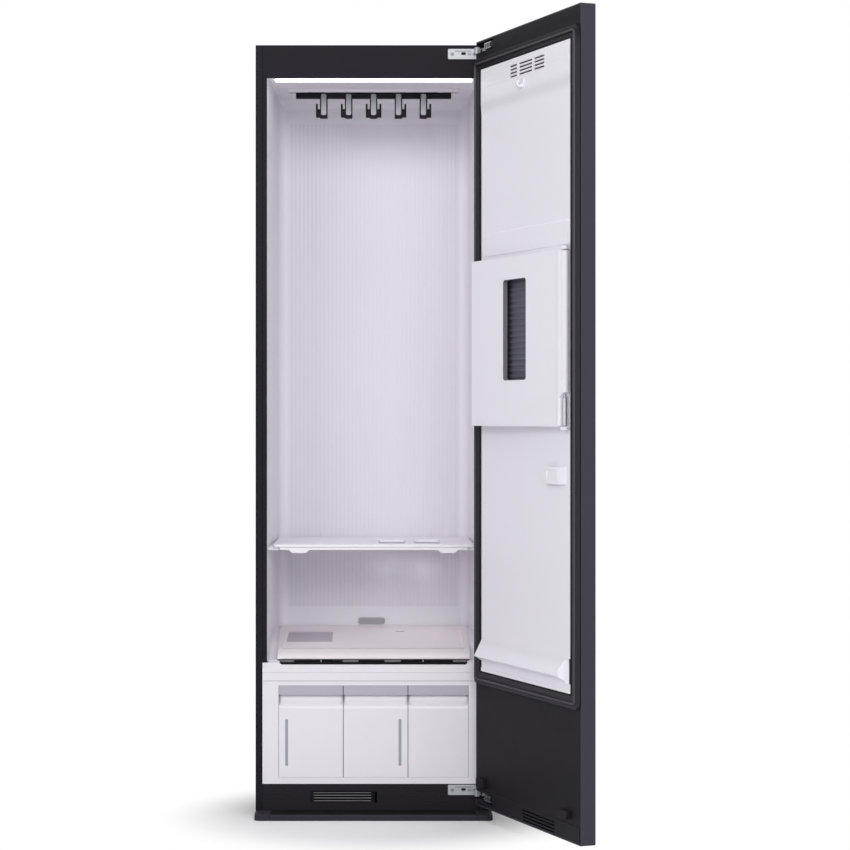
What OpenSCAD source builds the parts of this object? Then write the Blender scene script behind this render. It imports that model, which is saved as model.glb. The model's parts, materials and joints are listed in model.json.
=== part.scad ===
// Garment-care cabinet with a trouser press on the inside of its door.
// Units are millimetres. X runs to the right, Y away from the user, Z up.
// The origin is on the floor, midway across, below the cabinet's front face.
// The door stands open and the press is a little ajar, as in use.

/* [Cabinet] */
// Width across the side panels
cab_w = 600; // [560:1:760]
// Height from the floor to the top
cab_h = 1960; // [1900:1:2400]
// Depth from the front face to the back
cab_d = 540; // [530:1:700]
// Thickness of the steel panels
sheet_t = 1.5; // [1:0.1:2.5]
// Width of the front and rear flanges of the side panels
flange_w = 17; // [12:1:20]
// Width of the front jamb, from the side to the wardrobe opening
jamb_w = 29; // [24:1:36]
// Height of the header above the wardrobe opening
header_h = 84; // [76:1:110]
// Thickness of the plastic front mouldings
moulding_t = 4; // [3:0.5:6]

/* [Base and plinth] */
// Height of the base plate
base_h = 15; // [10:1:20]
// Reach of the base plate in front of the cabinet
base_reach = 70; // [58:1:90]
// Width of the caps on the front corners of the base
end_cap_w = 39; // [30:1:50]
// Height of the plinth
plinth_h = 67; // [62:1:90]
// Thickness of the plinth moulding
plinth_t = 12; // [8:1:16]
// Width of the plinth grille
grille_w = 175; // [120:1:220]
// Height of the plinth grille
grille_h = 34; // [26:1:40]
// Place of the plinth grille's middle across the cabinet
grille_x = -76; // [-120:1:0]
// Number of slats in the plinth grille
grille_slats = 4; // [3:1:6]

/* [Lower compartment] */
// Height of the white fascia
fascia_h = 308; // [300:1:340]
// Dip of the fascia's top edge
fascia_dip = 5; // [0:0.5:6]
// Width of the opening for the three containers
bay_w = 483; // [400:0.5:500]
// Height of that opening
bay_h = 234; // [200:1:240]
// Height of its lower edge above the fascia's lower edge
bay_rise = 16; // [12:1:24]
// Depth of the container bay
bay_d = 285; // [260:1:300]
// Wall of the container bay
bay_t = 3; // [2:0.5:4]
// Width of the water supply container
supply_w = 164.5; // [140:0.5:180]
// Width of the drain container
drain_w = 164.5; // [140:0.5:180]
// Depth of the containers
tank_d = 262; // [200:1:280]
// Wall of the containers
tank_t = 2.5; // [2:0.5:4]
// Height of the grey container lids
lid_h = 24; // [18:1:30]
// Height of the finger grip under each lid
grip_h = 36; // [30:1:60]
// Depth of the finger grip
grip_d = 28; // [20:1:34]
// Radius of the grip's round lip
grip_lip = 15; // [4:1:18]

/* [Wardrobe] */
// Depth of the wardrobe space
cavity_d = 415; // [400:1:440]
// Narrowing of each side wall towards the back
cavity_draft = 13; // [4:1:16]
// Radius of the upright rear corners
cavity_r = 24; // [16:1:40]
// Radius of the cove between ceiling and back wall
cove_r = 30; // [20:1:44]
// Wall of the inner liner
liner_t = 3; // [2:0.5:4]
// Width of the fluted panel on the back wall
flute_w = 470; // [400:1:480]
// Pitch of the flutes
flute_pitch = 11; // [9:0.5:16]
// Depth of the flutes
flute_depth = 1.2; // [0.5:0.1:2]
// Height of the fluted panel's lower edge
flute_z = 499; // [490:1:560]
// Height of the floor tray's front lip
tray_lip_z = 400; // [398:1:404]
// Height of the floor tray at its break line
tray_break_z = 421; // [415:1:426]
// Height of the floor tray at the back
tray_back_z = 447; // [435:1:455]
// Number of slats in the air intake of the tray
intake_slats = 5; // [4:1:7]

/* [Shelf and hanger] */
// Height of the shelf's top
shelf_z = 688; // [640:1:740]
// Depth of the shelf
shelf_d = 357; // [280:1:360]
// Thickness of the shelf
shelf_t = 7; // [5:1:9]
// Height of the shelf's front lip
shelf_lip = 14; // [12:1:20]
// Drop of the finger tabs below that lip
shelf_tab = 8; // [5:1:12]
// Length of the moving hanger bar
bar_l = 408; // [360:1:440]
// Height of the hanger bar
bar_h = 15; // [12:1:20]
// Depth of the hanger bar and its arms
bar_d = 16; // [12:1:20]
// Distance of the hanger bar from the front
bar_y = 200; // [180:1:230]
// Pitch of the hanger arms
arm_pitch = 65.5; // [58:0.5:72]
// Drop of the hanger arms below the bar
arm_drop = 52; // [44:1:64]
// Depth of the slot in each hook
hook_slot = 14; // [8:1:24]
// Stroke of the hanger bar to each side
shake = 20; // [10:1:24]

/* [Door] */
// Thickness of the door
door_t = 37; // [34:0.1:45]
// Gap between the cabinet front and the door's inner face
door_gap = 14; // [13:0.5:18]
// Height of the door's lower edge
door_z = 36; // [30:1:44]
// Opening angle as shown
door_open = 111; // [90:0.5:114]
// Thickness of the door's outer shell
skin_t = 3; // [2:0.5:3]
// Rise of the inner frame above the inner face
frame_h = 8; // [6:0.5:9]
// Height of the inner frame's lower edge
frame_z = 346; // [340:1:352]
// Width of the inner frame
frame_w = 43; // [38:1:50]
// Rise of the white liner above the inner face
liner_h = 6; // [5:0.5:8]
// Reach of the drip lip at the liner's lower end
drip_h = 26; // [18:1:27]

/* [Door hinge] */
// Radius of the hinge pins
pin_r = 2.5; // [2:0.1:3]
// Radius of the knuckle on each hinge arm
knuckle_r = 4.8; // [4.4:0.1:5.2]
// Height of each knuckle
knuckle_h = 16; // [12:1:18]
// Distance of the pin from the cabinet's side
pin_inset = 12; // [10:0.5:14]
// Distance of the pin from the door's inner face
pin_depth = 27.5; // [26:0.5:28]
// Width of each hinge plate
plate_w = 72; // [60:1:80]
// Height of each hinge plate
plate_h = 26; // [22:1:30]
// Thickness of the hinge plates
plate_t = 3; // [2:0.5:4]

/* [Press] */
// Width of the press plate from its hinge axis
press_w = 477; // [380:0.1:490]
// Height of the press plate
press_h = 407; // [360:1:440]
// Height of the press plate's lower edge
press_z = 993; // [980:1:1010]
// Thickness of the press plate
press_t = 14; // [10:0.5:14.5]
// Angle by which the plate stands ajar
press_ajar = 2; // [0:0.5:4]
// Width of the window in the plate
window_w = 122; // [90:1:160]
// Height of the window in the plate
window_h = 242; // [200:1:280]
// Radius of the press hinge barrel
barrel_r = 10; // [9:0.5:11]
// Length of the barrel
barrel_l = 336; // [300:1:338]
// Radius of the metal collar below the barrel
collar_r = 6; // [4:0.5:8]
// Height of the hem clamp above the press
hem_h = 58; // [48:1:60]

/* [Clearances] */
// Radial clearance of a turning pin
run_gap = 0.05; // [0.02:0.01:0.1]
// Radial clearance of a fixed pin
seat_gap = 0.02; // [0.01:0.01:0.05]
// Clearance of a sliding or fitted piece
slide_gap = 0.5; // [0.3:0.1:0.8]

/* [Hidden] */
$fn = 48;
eps = 1;

half_w = cab_w / 2;
panel_top = cab_h - sheet_t;
flange_x = half_w - flange_w;
moulding_x = flange_x - slide_gap;
fascia_z = base_h + plinth_h;
fascia_top = fascia_z + fascia_h;
ceiling_z = cab_h - header_h;
fit = slide_gap / 2;
gland_x = -half_w + 80;
gland_z = 120;
gland_r = 8;

// Wardrobe
cavity_w = cab_w - 2 * jamb_w;
liner_y = moulding_t;
deck_t = 10;
deck_z = fascia_top - deck_t;
function wall_x(y) = cavity_w / 2 - cavity_draft * y / (cavity_d - cavity_r);
flute_t = 3;
flute_top = ceiling_z - cove_r - 34;

// Floor tray
tray_t = 4;
tray_lip_y = 30;
tray_break_y = 70;
tray_end_y = cavity_d - flute_t - 1;
tray_slope = atan((tray_back_z - tray_break_z) / (tray_end_y - tray_break_y));
tray_half = wall_x(cavity_d - cavity_r) - 11;
intake_x = [-225, -110];
intake_s = [87, 235];
intake_rim = 5;

// Containers
bay_z = fascia_z + bay_rise;
aroma_w = bay_w - supply_w - drain_w;
supply_x = -bay_w / 2;
drain_x = supply_x + supply_w;
aroma_x = drain_x + drain_w;
tank_gap = 0.9;
face_t = 8;
cell_inset = 3;
strip_w = 7;
strip_l = 118;
strip_rise = 30;
strip_depth = 1.2;
strip_inset = 16;

tank_lid_z = bay_z + bay_h - lid_h;
drain_strip = drain_w - 2 * tank_gap - strip_inset - strip_w;

// Lint filter
lint_half = 236;
lint_y = [14, 200];
lint_z = [fascia_top + fit, tray_lip_z - tray_t - slide_gap];
lint_rim = 12;

// Machine room behind the containers
bay_y = moulding_t + slide_gap;
bay_back = bay_y + bay_d;
machine_y = (bay_back + cab_d) / 2;
fan_x = -130;
fan_z = 150;
fan_r = 62;
scroll_r = 82;
scroll_d = 70;
scroll_y = bay_back + 16;
shaft_r = 4;

// Shelf
shelf_y = 40;
shelf_half = wall_x(shelf_y + shelf_d) - 1;
ledge_h = 8;
ledge_reach = 14;
ledge_gap = 0.1;
slot_w = 69;
slot_x = [48, 140];
slot_y = [100, 280];

// Hanger
rail_h = 9;
rail_w = 30;
rail_t = 2;
rail_lip = 5;
bar_top = ceiling_z - rail_h - slide_gap;
bar_z = bar_top - bar_h;
arm_z = bar_z - arm_drop;
arm_w = 20;
arm_sides = [[-1], [-1], [-1, 1], [1], [1]];
hook_wall = 5;
hook_gap = 5.5;
hook_h = 35;
hook_rise = 3;
glider_x = 150;
glider_l = 40;

// Door, in its own terms: u from the hinge edge, h inward from the inner face
door_hx = half_w - 2;
door_w = cab_w - 3;
pin_x = half_w - pin_inset;
pin_y = -door_gap - pin_depth;
pin_u = door_hx - pin_x;
pin_h = -pin_depth;
inner_t = 4;
rim_gap = 0.2;
frame_u = 4;
frame_top = cab_h - 47;
liner_u0 = frame_u + frame_w;
liner_u1 = door_w - liner_u0 + 8;
liner_z0 = frame_z + 35;
liner_z1 = frame_top - 35;
door_mid = door_w / 2;
gasket_in = 9;
gasket_w = 7;
gasket_seat = 3;
gasket_h = door_gap - 1;
vent_h = liner_h + 3;
vent_z0 = liner_z1 - 90;
vent_pitch = 8.4;
drip_top = liner_z0 + 77;
drip_tip = liner_z0 + 36;
drip_root = liner_z0 + 24;

// Door hinges
knuckle_z = [door_z + 25, cab_h - 17];
plate_z = [knuckle_z[0] + 6, knuckle_z[1] - 6];
plate_x1 = pin_x - 27;
arm_bar = 7;
plate_r = 3;
ear_t = 2.5;
ear_gap = 0.4;
pocket_h = knuckle_h + 2 * (ear_t + ear_gap) + 2;
pocket_u = 105;
well_t = 2;
bracket_web = 3;
link_u = pin_u + 34;
link_t = 2.6;
link_pitch = 4.2;

// Press
press_u = 547;
axis_h = liner_h + barrel_r + 1.5;
press_back = axis_h + barrel_r - press_t;
base_top = press_back - slide_gap;
press_top = press_z + press_h;
barrel_z = press_top - 3 - barrel_l;
plate_u0 = press_u - press_w;
plate_u1 = press_u - barrel_r;
window_u = plate_u0 + press_w / 2 - window_w / 2;
window_z = press_z + 110;
press_ear_h = 8;
press_ear_gap = slide_gap;
base_u1 = press_u - barrel_r - 2;
hem_z = press_top + press_ear_h + 3;

// Rectangle with round corners
module rrect(x, y, r) {
    translate([x[0] + r, y[0]]) square([x[1] - x[0] - 2 * r, y[1] - y[0]]);
    translate([x[0], y[0] + r]) square([x[1] - x[0], y[1] - y[0] - 2 * r]);
    for (cx = [x[0] + r, x[1] - r], cy = [y[0] + r, y[1] - r]) translate([cx, cy]) circle(r);
}

// Box between two limits on each axis
module box(x, y, z) {
    translate([x[0], y[0], z[0]]) cube([x[1] - x[0], y[1] - y[0], z[1] - z[0]]);
}

// Upright prism of a plan drawn in X and Y
module along_z(z) {
    translate([0, 0, z[0]]) linear_extrude(z[1] - z[0]) children();
}

// Prism of a front view drawn in X and Z
module along_y(y) {
    translate([0, y[1], 0]) rotate([90, 0, 0]) linear_extrude(y[1] - y[0]) children();
}

// Prism of a side view drawn in Y and Z
module along_x(x) {
    translate([x[0], 0, 0]) rotate([90, 0, 90]) linear_extrude(x[1] - x[0]) children();
}

// Points of an arc
function arc(c, r, a0, a1, n = 8) =
    [for (i = [0 : n]) let (a = a0 + (a1 - a0) * i / n) [c[0] + r * cos(a), c[1] + r * sin(a)]];

// Both sides of the cabinet
module both_sides() {
    children();
    mirror([1, 0, 0]) children();
}

// The door's own terms, closed and then swung open about the hinge pin
module in_door() {
    translate([pin_x, pin_y, 0]) rotate([0, 0, door_open]) translate([-pin_x, -pin_y, 0])
        translate([door_hx, -door_gap, 0]) mirror([1, 0, 0]) children();
}

// The press plate's place on the door, ajar about its own pin
module in_press() {
    in_door() translate([press_u, axis_h, 0]) rotate([0, 0, -press_ajar])
        translate([-press_u, -axis_h, 0]) children();
}

// Base and steel cabinet

module base_plate() {
    color("#1b1b1f") difference() {
        box([-half_w, half_w], [-base_reach, cab_d], [0, base_h]);
        both_sides() box([half_w - end_cap_w - fit, half_w + eps], [-base_reach - eps, -fit], [-eps, base_h + eps]);
        // Chamfer along the front edge
        translate([-half_w, -base_reach, base_h]) rotate([45, 0, 0]) translate([-eps, -3, -3])
            cube([cab_w + 2 * eps, 6, 6]);
    }
}

module base_end_caps() {
    corner_r = 12;
    color("#232328") both_sides() along_z([0, base_h]) {
        translate([half_w - end_cap_w, -base_reach]) square([end_cap_w - corner_r, base_reach - fit]);
        translate([half_w - end_cap_w, -base_reach + corner_r]) square([end_cap_w, base_reach - corner_r - fit]);
        translate([half_w - corner_r, -base_reach + corner_r]) circle(corner_r);
    }
}

module side_panel() {
    along_z([base_h, cab_h]) {
        translate([half_w - sheet_t, 0]) square([sheet_t, cab_d]);
        translate([flange_x, 0]) square([flange_w, sheet_t]);
        translate([flange_x, cab_d - sheet_t]) square([flange_w, sheet_t]);
    }
}

module left_side_panel() {
    color("#202026") mirror([1, 0, 0]) side_panel();
}

module right_side_panel() {
    color("#202026") side_panel();
}

module top_panel() {
    inside = half_w - sheet_t - fit;
    color("#202026") {
        box([-inside, inside], [sheet_t + fit, cab_d - sheet_t - fit], [panel_top, cab_h]);
        box([-moulding_x, moulding_x], [0, sheet_t + fit], [panel_top, cab_h]);
    }
}

module rear_panel() {
    inside = half_w - sheet_t - fit;
    louvre_w = 150;
    louvre_pitch = 16;
    color("#2a2a2f") difference() {
        box([-inside, inside], [cab_d - 2 * sheet_t, cab_d - sheet_t], [base_h, panel_top - fit]);
        for (side = [-1, 1], row = [0 : 7])
            along_y([cab_d - 3 * sheet_t, cab_d])
                translate([side * half_w / 2, 190 + row * louvre_pitch])
                    rrect([-louvre_w / 2, louvre_w / 2], [-3, 3], 2.9);
        translate([gland_x, cab_d, gland_z]) rotate([90, 0, 0]) cylinder(r = gland_r + fit, h = 4 * sheet_t);
    }
}

module cord_gland() {
    length = 4 * sheet_t;
    color("#151517") translate([gland_x, cab_d - sheet_t, gland_z]) rotate([-90, 0, 0]) difference() {
        union() {
            cylinder(r = gland_r + 6, h = sheet_t);
            translate([0, 0, -length]) cylinder(r = gland_r, h = length + sheet_t / 2);
        }
        translate([0, 0, -length - eps]) cylinder(r = gland_r * 0.6, h = length);
    }
}

module header_fascia() {
    return_d = 30;
    color("#201f26") {
        box([-moulding_x, moulding_x], [0, moulding_t], [ceiling_z, panel_top - fit]);
        box([-moulding_x, moulding_x], [moulding_t, return_d],
            [panel_top - fit - moulding_t, panel_top - fit]);
    }
}

module breaker_strips() {
    color("#201f26") both_sides()
        box([cavity_w / 2, moulding_x], [0, moulding_t], [fascia_top + fit, ceiling_z - fit]);
}

// Wardrobe

// Plan of the wardrobe, grown outwards
module cavity_plan(grow, front) {
    back = cavity_d + grow;
    r = cavity_r + grow;
    x_back = cavity_w / 2 - cavity_draft + grow;
    x_front = cavity_w / 2 + grow - cavity_draft * front / (cavity_d - cavity_r);
    polygon(concat(
        [[-x_front, front], [x_front, front]],
        arc([x_back - r, back - r], r, 0, 90),
        arc([-x_back + r, back - r], r, 90, 180)));
}

// Side view of the wardrobe with the cove at its ceiling, grown outwards
module cavity_side(grow, front, bottom) {
    back = cavity_d + grow;
    top = ceiling_z + grow;
    r = cove_r + grow;
    polygon(concat([[front, bottom], [back, bottom]], arc([back - r, top - r], r, 0, 90), [[front, top]]));
}

module cavity_solid(grow, front, bottom) {
    intersection() {
        along_z([bottom, ceiling_z + grow]) cavity_plan(grow, front);
        along_x([-half_w, half_w]) cavity_side(grow, front, bottom);
    }
}

module inner_liner() {
    color("#dedce4") difference() {
        cavity_solid(liner_t, liner_y, deck_z);
        cavity_solid(0, liner_y - eps, deck_z - eps);
    }
}

module ribbed_back_panel() {
    count = floor(flute_w / flute_pitch);
    steps = 6;
    front = cavity_d - flute_t;
    flutes = [for (i = [0 : count - 1], k = [0 : steps - 1]) let (t = k / steps)
        [count * flute_pitch / 2 - (i + t) * flute_pitch, front + flute_depth * (1 - cos(360 * t)) / 2]];
    half = count * flute_pitch / 2;
    color("#c8c4cd") along_z([flute_z, flute_top])
        polygon(concat([[-half, front], [-half, cavity_d], [half, cavity_d]], flutes));
}

module light_lens() {
    lens_y = [liner_y + 8, liner_y + 26];
    lens_h = 6;
    lens_l = cavity_w - 40;
    color("#f6f5f2") along_x([-lens_l / 2, lens_l / 2]) {
        rrect(lens_y, [ceiling_z - lens_h, ceiling_z - 1], 2.2);
        translate([lens_y[0] + 4, ceiling_z - 3]) square([lens_y[1] - lens_y[0] - 8, 3]);
    }
}

module vent_cover() {
    color("#9d9ca3") along_y([cavity_d - 4, cavity_d]) rrect([-42, 31], [tray_back_z + 4, tray_back_z + 21], 6);
}

module shelf_ledges() {
    near = shelf_y + 10;
    far = min(shelf_y + shelf_d + 14, cavity_d - cavity_r - 1);
    inner = shelf_half - ledge_reach;
    color("#d9d7de") both_sides() along_z([shelf_z - shelf_t - ledge_h, shelf_z - shelf_t])
        polygon([[inner, near], [wall_x(near) - ledge_gap, near], [wall_x(far) - ledge_gap, far], [inner, far]]);
}

// Side view of the floor tray's skin
module tray_side() {
    lip_r = 3;
    drop = tray_t / cos(tray_slope);
    polygon([
        [tray_lip_y, tray_lip_z - tray_t], [tray_lip_y, tray_lip_z],
        [tray_break_y, tray_break_z], [tray_end_y, tray_back_z],
        [tray_end_y, tray_back_z - drop], [tray_break_y, tray_break_z - drop],
        [tray_lip_y + lip_r, tray_lip_z - tray_t]]);
}

// Side view of everything below the tray's top and above the deck
module tray_skirt_side() {
    polygon([
        [tray_break_y, fascia_top], [tray_break_y, tray_break_z - 1],
        [tray_end_y, tray_back_z - 1], [tray_end_y, fascia_top]]);
}

// Plan of the tray, set in from the liner's walls
module tray_plan() {
    back_half = tray_half + 5;
    polygon([
        [1 - tray_half, tray_lip_y - eps], [tray_half - 1, tray_lip_y - eps],
        [back_half, cavity_d - cavity_r], [wall_x(cavity_d) - 20, tray_end_y],
        [-wall_x(cavity_d) + 20, tray_end_y], [-back_half, cavity_d - cavity_r]]);
}

// Low flanges from the skirts to the liner's walls
module tray_flanges() {
    near = tray_lip_y + 4;
    far = cavity_d - cavity_r;
    both_sides() along_z([fascia_top, fascia_top + 2]) polygon([
        [tray_half - 4, near], [wall_x(near) - slide_gap, near],
        [wall_x(far) - slide_gap, far], [tray_half - 4, far]]);
}

// Upright skirts that carry the tray on the deck
module tray_skirts() {
    inner = lint_half + 1;
    intersection() {
        along_x([-half_w, half_w]) tray_skirt_side();
        along_z([fascia_top, cab_h]) difference() {
            tray_plan();
            translate([-inner, 0]) square([2 * inner, tray_end_y - tray_t]);
        }
    }
}

// Place on the tray's slope: X across, Y up the slope, Z out of it
module on_slope() {
    translate([0, tray_break_y, tray_break_z]) rotate([tray_slope, 0, 0]) children();
}

module floor_tray() {
    slit_l = 14;
    slit_rows = 9;
    color("#dcdae2") difference() {
        union() {
            intersection() {
                along_x([-half_w, half_w]) tray_side();
                along_z([deck_z, cab_h]) tray_plan();
            }
            tray_skirts();
            tray_flanges();
        }
        on_slope() {
            box(intake_x, intake_s, [-20, 10]);
            for (row = [0 : slit_rows - 1]) translate([0, 20 + row * 2 * slit_l, -1.5]) both_sides()
                box([lint_half - 7, lint_half - 3], [0, slit_l], [0, 10]);
            along_z([-1.5, 10]) rrect([58, 83], [240, 248], 3.9);
        }
    }
}

module intake_grille() {
    x = [intake_x[0] + fit, intake_x[1] - fit];
    s = [intake_s[0] + fit, intake_s[1] - fit];
    pitch = (s[1] - s[0] - intake_rim) / intake_slats;
    color("#cfcdd6") on_slope() {
        difference() {
            box(x, s, [-tray_t, 0]);
            box([x[0] + intake_rim, x[1] - intake_rim], [s[0] + intake_rim, s[1] - intake_rim],
                [-tray_t - eps, eps]);
        }
        for (i = [1 : intake_slats - 1]) translate([0, s[0] + i * pitch, 0])
            box([x[0] + intake_rim - eps, x[1] - intake_rim + eps], [0, intake_rim], [-tray_t, -0.5]);
    }
}

module filter_deck() {
    duct_y = [70, 190];
    color("#2b2b30") along_z([deck_z, fascia_top]) difference() {
        cavity_plan(-fit, moulding_t + slide_gap);
        translate([-lint_half + 20, duct_y[0]]) square([2 * lint_half - 40, duct_y[1] - duct_y[0]]);
    }
}

// Lint filter, drawn out to the front over the fascia

module lint_filter_frame() {
    inner = [-lint_half + lint_rim, lint_half - lint_rim];
    front = lint_y[0] + 2 * lint_rim;
    color("#1d1d20") difference() {
        along_z(lint_z) difference() {
            rrect([-lint_half, lint_half], lint_y, 5);
            for (i = [0 : 2]) let (w = (inner[1] - inner[0] - 2 * lint_rim) / 3)
                translate([inner[0] + i * (w + lint_rim), front])
                    square([w, lint_y[1] - lint_rim - front]);
        }
        // Rebate for the mesh
        box(inner, [front - 3, lint_y[1] - lint_rim + 3], [lint_z[1] - 1.2, lint_z[1] + eps]);
        // Finger notches in the front bar
        for (side = [-1, 1]) translate([side * 120, lint_y[0], lint_z[0] - eps])
            cylinder(r = 14, h = lint_z[1]);
    }
}

module lint_filter_mesh() {
    front = lint_y[0] + 2 * lint_rim - 3 + fit;
    color("#8d8d93") box([-lint_half + lint_rim + fit, lint_half - lint_rim - fit],
        [front, lint_y[1] - lint_rim + 3 - fit], [lint_z[1] - 1.2, lint_z[1] - 0.2]);
}

// Lower front

module lower_fascia() {
    line_w = 1.6;
    line_d = 1.2;
    lines = [fascia_top - 12.5, fascia_top - 25.5, fascia_top - 46.5];
    dip_x = bay_w / 2;
    dip_z = fascia_top - fascia_dip;
    dip = [[dip_x, fascia_top], [dip_x - 8, dip_z], [8 - dip_x, dip_z], [-dip_x, fascia_top]];
    color("#e2e0e7") difference() {
        along_y([0, moulding_t]) difference() {
            polygon(concat([[-moulding_x, fascia_top], [-moulding_x, fascia_z], [moulding_x, fascia_z],
                [moulding_x, fascia_top]], dip));
            translate([-bay_w / 2, bay_z]) square([bay_w, bay_h]);
        }
        for (z = lines) box([-half_w, half_w], [-eps, line_d], [z - line_w / 2, z + line_w / 2]);
    }
}

module container_bay() {
    cells = [[supply_x, drain_x], [drain_x, aroma_x], [aroma_x, bay_w / 2]];
    y = [bay_y, bay_back];
    color("#d0ced6") difference() {
        box([-bay_w / 2 - bay_t, bay_w / 2 + bay_t], y, [bay_z - bay_t, bay_z + bay_h + bay_t]);
        for (c = cells) box([c[0] + cell_inset / 2, c[1] - cell_inset / 2], [y[0] - eps, y[1] - bay_t],
            [bay_z, bay_z + bay_h]);
        box([-bay_w / 2, bay_w / 2], [y[0] - eps, face_t + slide_gap], [bay_z, bay_z + bay_h]);
    }
}

// Finger grip below the lid, with a round lip under the fingers
module grip_scoop(x) {
    z = tank_lid_z - grip_h;
    along_x(x) difference() {
        translate([-eps, z]) square([grip_d + eps, grip_h + eps]);
        translate([grip_lip, z]) circle(grip_lip);
        translate([grip_lip, z - eps]) square([grip_d, grip_lip + eps]);
    }
}

// Open-topped container with a finger grip in its face
module tank_body(x, strip_at) {
    face = [x[0] + tank_gap, x[1] - tank_gap];
    body = [x[0] + cell_inset, x[1] - cell_inset];
    z = [bay_z + slide_gap, tank_lid_z];
    margin = 4;
    difference() {
        union() {
            along_y([0, face_t]) translate([face[0], z[0]]) square([face[1] - face[0], z[1] - z[0]]);
            box(body, [face_t - eps, tank_d], z);
        }
        difference() {
            box([body[0] + tank_t, body[1] - tank_t], [tank_t + 1, tank_d - tank_t], [z[0] + tank_t, z[1] + eps]);
            box(face, [0, grip_d + tank_t], [z[1] - grip_h - 8, z[1] + 2 * eps]);
        }
        grip_scoop([face[0] + margin, face[1] - margin]);
        if (strip_at > 0) window_strip(face[0] + strip_at, fit, -eps);
    }
}

// Fill-level strip let into a container's face
module window_strip(x, grow, front) {
    z = bay_z + strip_rise;
    along_y([front, strip_depth]) rrect([x - grow, x + strip_w + grow], [z - grow, z + strip_l + grow], 2);
}

module tank_lid(x) {
    face = [x[0] + tank_gap, x[1] - tank_gap];
    body = [x[0] + cell_inset, x[1] - cell_inset];
    z = [tank_lid_z, bay_z + bay_h - slide_gap];
    difference() {
        union() {
            box(face, [0, face_t], z);
            box(body, [face_t - eps, tank_d], z);
        }
        box([body[0] + tank_t, body[1] - tank_t], [face_t + grip_d + tank_t, tank_d - tank_t],
            [z[0] - eps, z[1] - tank_t]);
    }
}

module supply_tank_body() {
    color("#e4e3e9") tank_body([supply_x, drain_x], strip_inset);
}

module supply_tank_lid() {
    color("#b9bac2") tank_lid([supply_x, drain_x]);
}

module supply_tank_window() {
    color("#7f8fa6") window_strip(supply_x + tank_gap + strip_inset, 0, 0.1);
}

module drain_tank_body() {
    color("#e4e3e9") tank_body([drain_x, aroma_x], drain_strip);
}

module drain_tank_lid() {
    color("#b9bac2") tank_lid([drain_x, aroma_x]);
}

module drain_tank_window() {
    color("#7f8fa6") window_strip(drain_x + tank_gap + drain_strip, 0, 0.1);
}

module aroma_case_body() {
    color("#e4e3e9") tank_body([aroma_x, bay_w / 2], 0);
}

module aroma_case_lid() {
    color("#b9bac2") tank_lid([aroma_x, bay_w / 2]);
}

module plinth() {
    groove_pitch = 5;
    grooves = floor((grille_h - 3) / groove_pitch);
    z = base_h + plinth_h / 2;
    groove_z = z - grille_h / 2 + 1.5;
    color("#1e1d23") difference() {
        box([-moulding_x, moulding_x], [0, plinth_t], [base_h, fascia_z]);
        box([grille_x - grille_w / 2, grille_x + grille_w / 2], [-eps, plinth_t + eps],
            [z - grille_h / 2, z + grille_h / 2]);
        for (i = [0 : grooves]) box([-half_w, half_w], [-eps, 0.8],
            [groove_z + i * groove_pitch, groove_z + i * groove_pitch + 1.2]);
    }
}

module plinth_grille() {
    rim = 2.5;
    x = [grille_x - grille_w / 2 + fit, grille_x + grille_w / 2 - fit];
    z = [base_h + plinth_h / 2 - grille_h / 2 + fit, base_h + plinth_h / 2 + grille_h / 2 - fit];
    pitch = (z[1] - z[0]) / grille_slats;
    y = [1, plinth_t];
    color("#6c6b72") {
        along_y(y) difference() {
            translate([x[0], z[0]]) square([x[1] - x[0], z[1] - z[0]]);
            translate([x[0] + rim, z[0] + rim]) square([x[1] - x[0] - 2 * rim, z[1] - z[0] - 2 * rim]);
        }
        for (i = [0 : grille_slats - 1]) translate([0, y[0] + 1, z[0] + (i + 0.5) * pitch - 1])
            along_x([x[0] + rim - 0.5, x[1] - rim + 0.5]) polygon([[0, 0], [8, 2], [8, 3.8], [0, 1.8]]);
        // Blanking piece set aslant at the right-hand end
        translate([x[1] - 26, 0, 0]) along_z([z[0] + 1, z[1] - 1])
            polygon([[0, y[0] + 8], [24, y[0] + 0.5], [24, y[0] + 2], [2, y[0] + 9.5]]);
    }
}

// Door hinges

// Plate and gooseneck arm on the cabinet, with a bored knuckle
module hinge_arm(i) {
    z = [plate_z[i] - plate_h / 2, plate_z[i] + plate_h / 2];
    k = [knuckle_z[i] - knuckle_h / 2, knuckle_z[i] + knuckle_h / 2];
    bar_z = [max(z[0] + plate_r, k[0] + 1), min(z[1] - plate_r, k[1] - 1)];
    foot = [plate_x1, -plate_t / 2];
    run = [pin_x - foot[0], pin_y - foot[1]];
    length = norm(run) - pin_r - 1;
    difference() {
        union() {
            along_y([-plate_t, 0]) rrect([plate_x1 - plate_w, plate_x1 + 5], z, plate_r);
            translate([foot[0], foot[1], 0]) rotate([0, 0, atan2(run[1], run[0])])
                box([1, length], [-arm_bar / 2, arm_bar / 2], bar_z);
            translate([pin_x, pin_y, k[0]]) cylinder(r = knuckle_r, h = knuckle_h);
        }
        translate([pin_x, pin_y, k[0] - eps]) cylinder(r = pin_r + run_gap, h = knuckle_h + 2 * eps);
        // The arm's foot ends flush with the cabinet's front
        box([-half_w, half_w], [0, 40], [0, cab_h]);
        // Adjusting slot
        along_y([-plate_t - eps, eps]) translate([plate_x1 - plate_w * 0.45, plate_z[i] + 1])
            rrect([-6, 6], [-3.5, 3.5], 3.4);
    }
}

module upper_hinge_arm() {
    color("#b4b6bb") hinge_arm(1);
}

module lower_hinge_arm() {
    color("#b4b6bb") hinge_arm(0);
}

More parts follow.
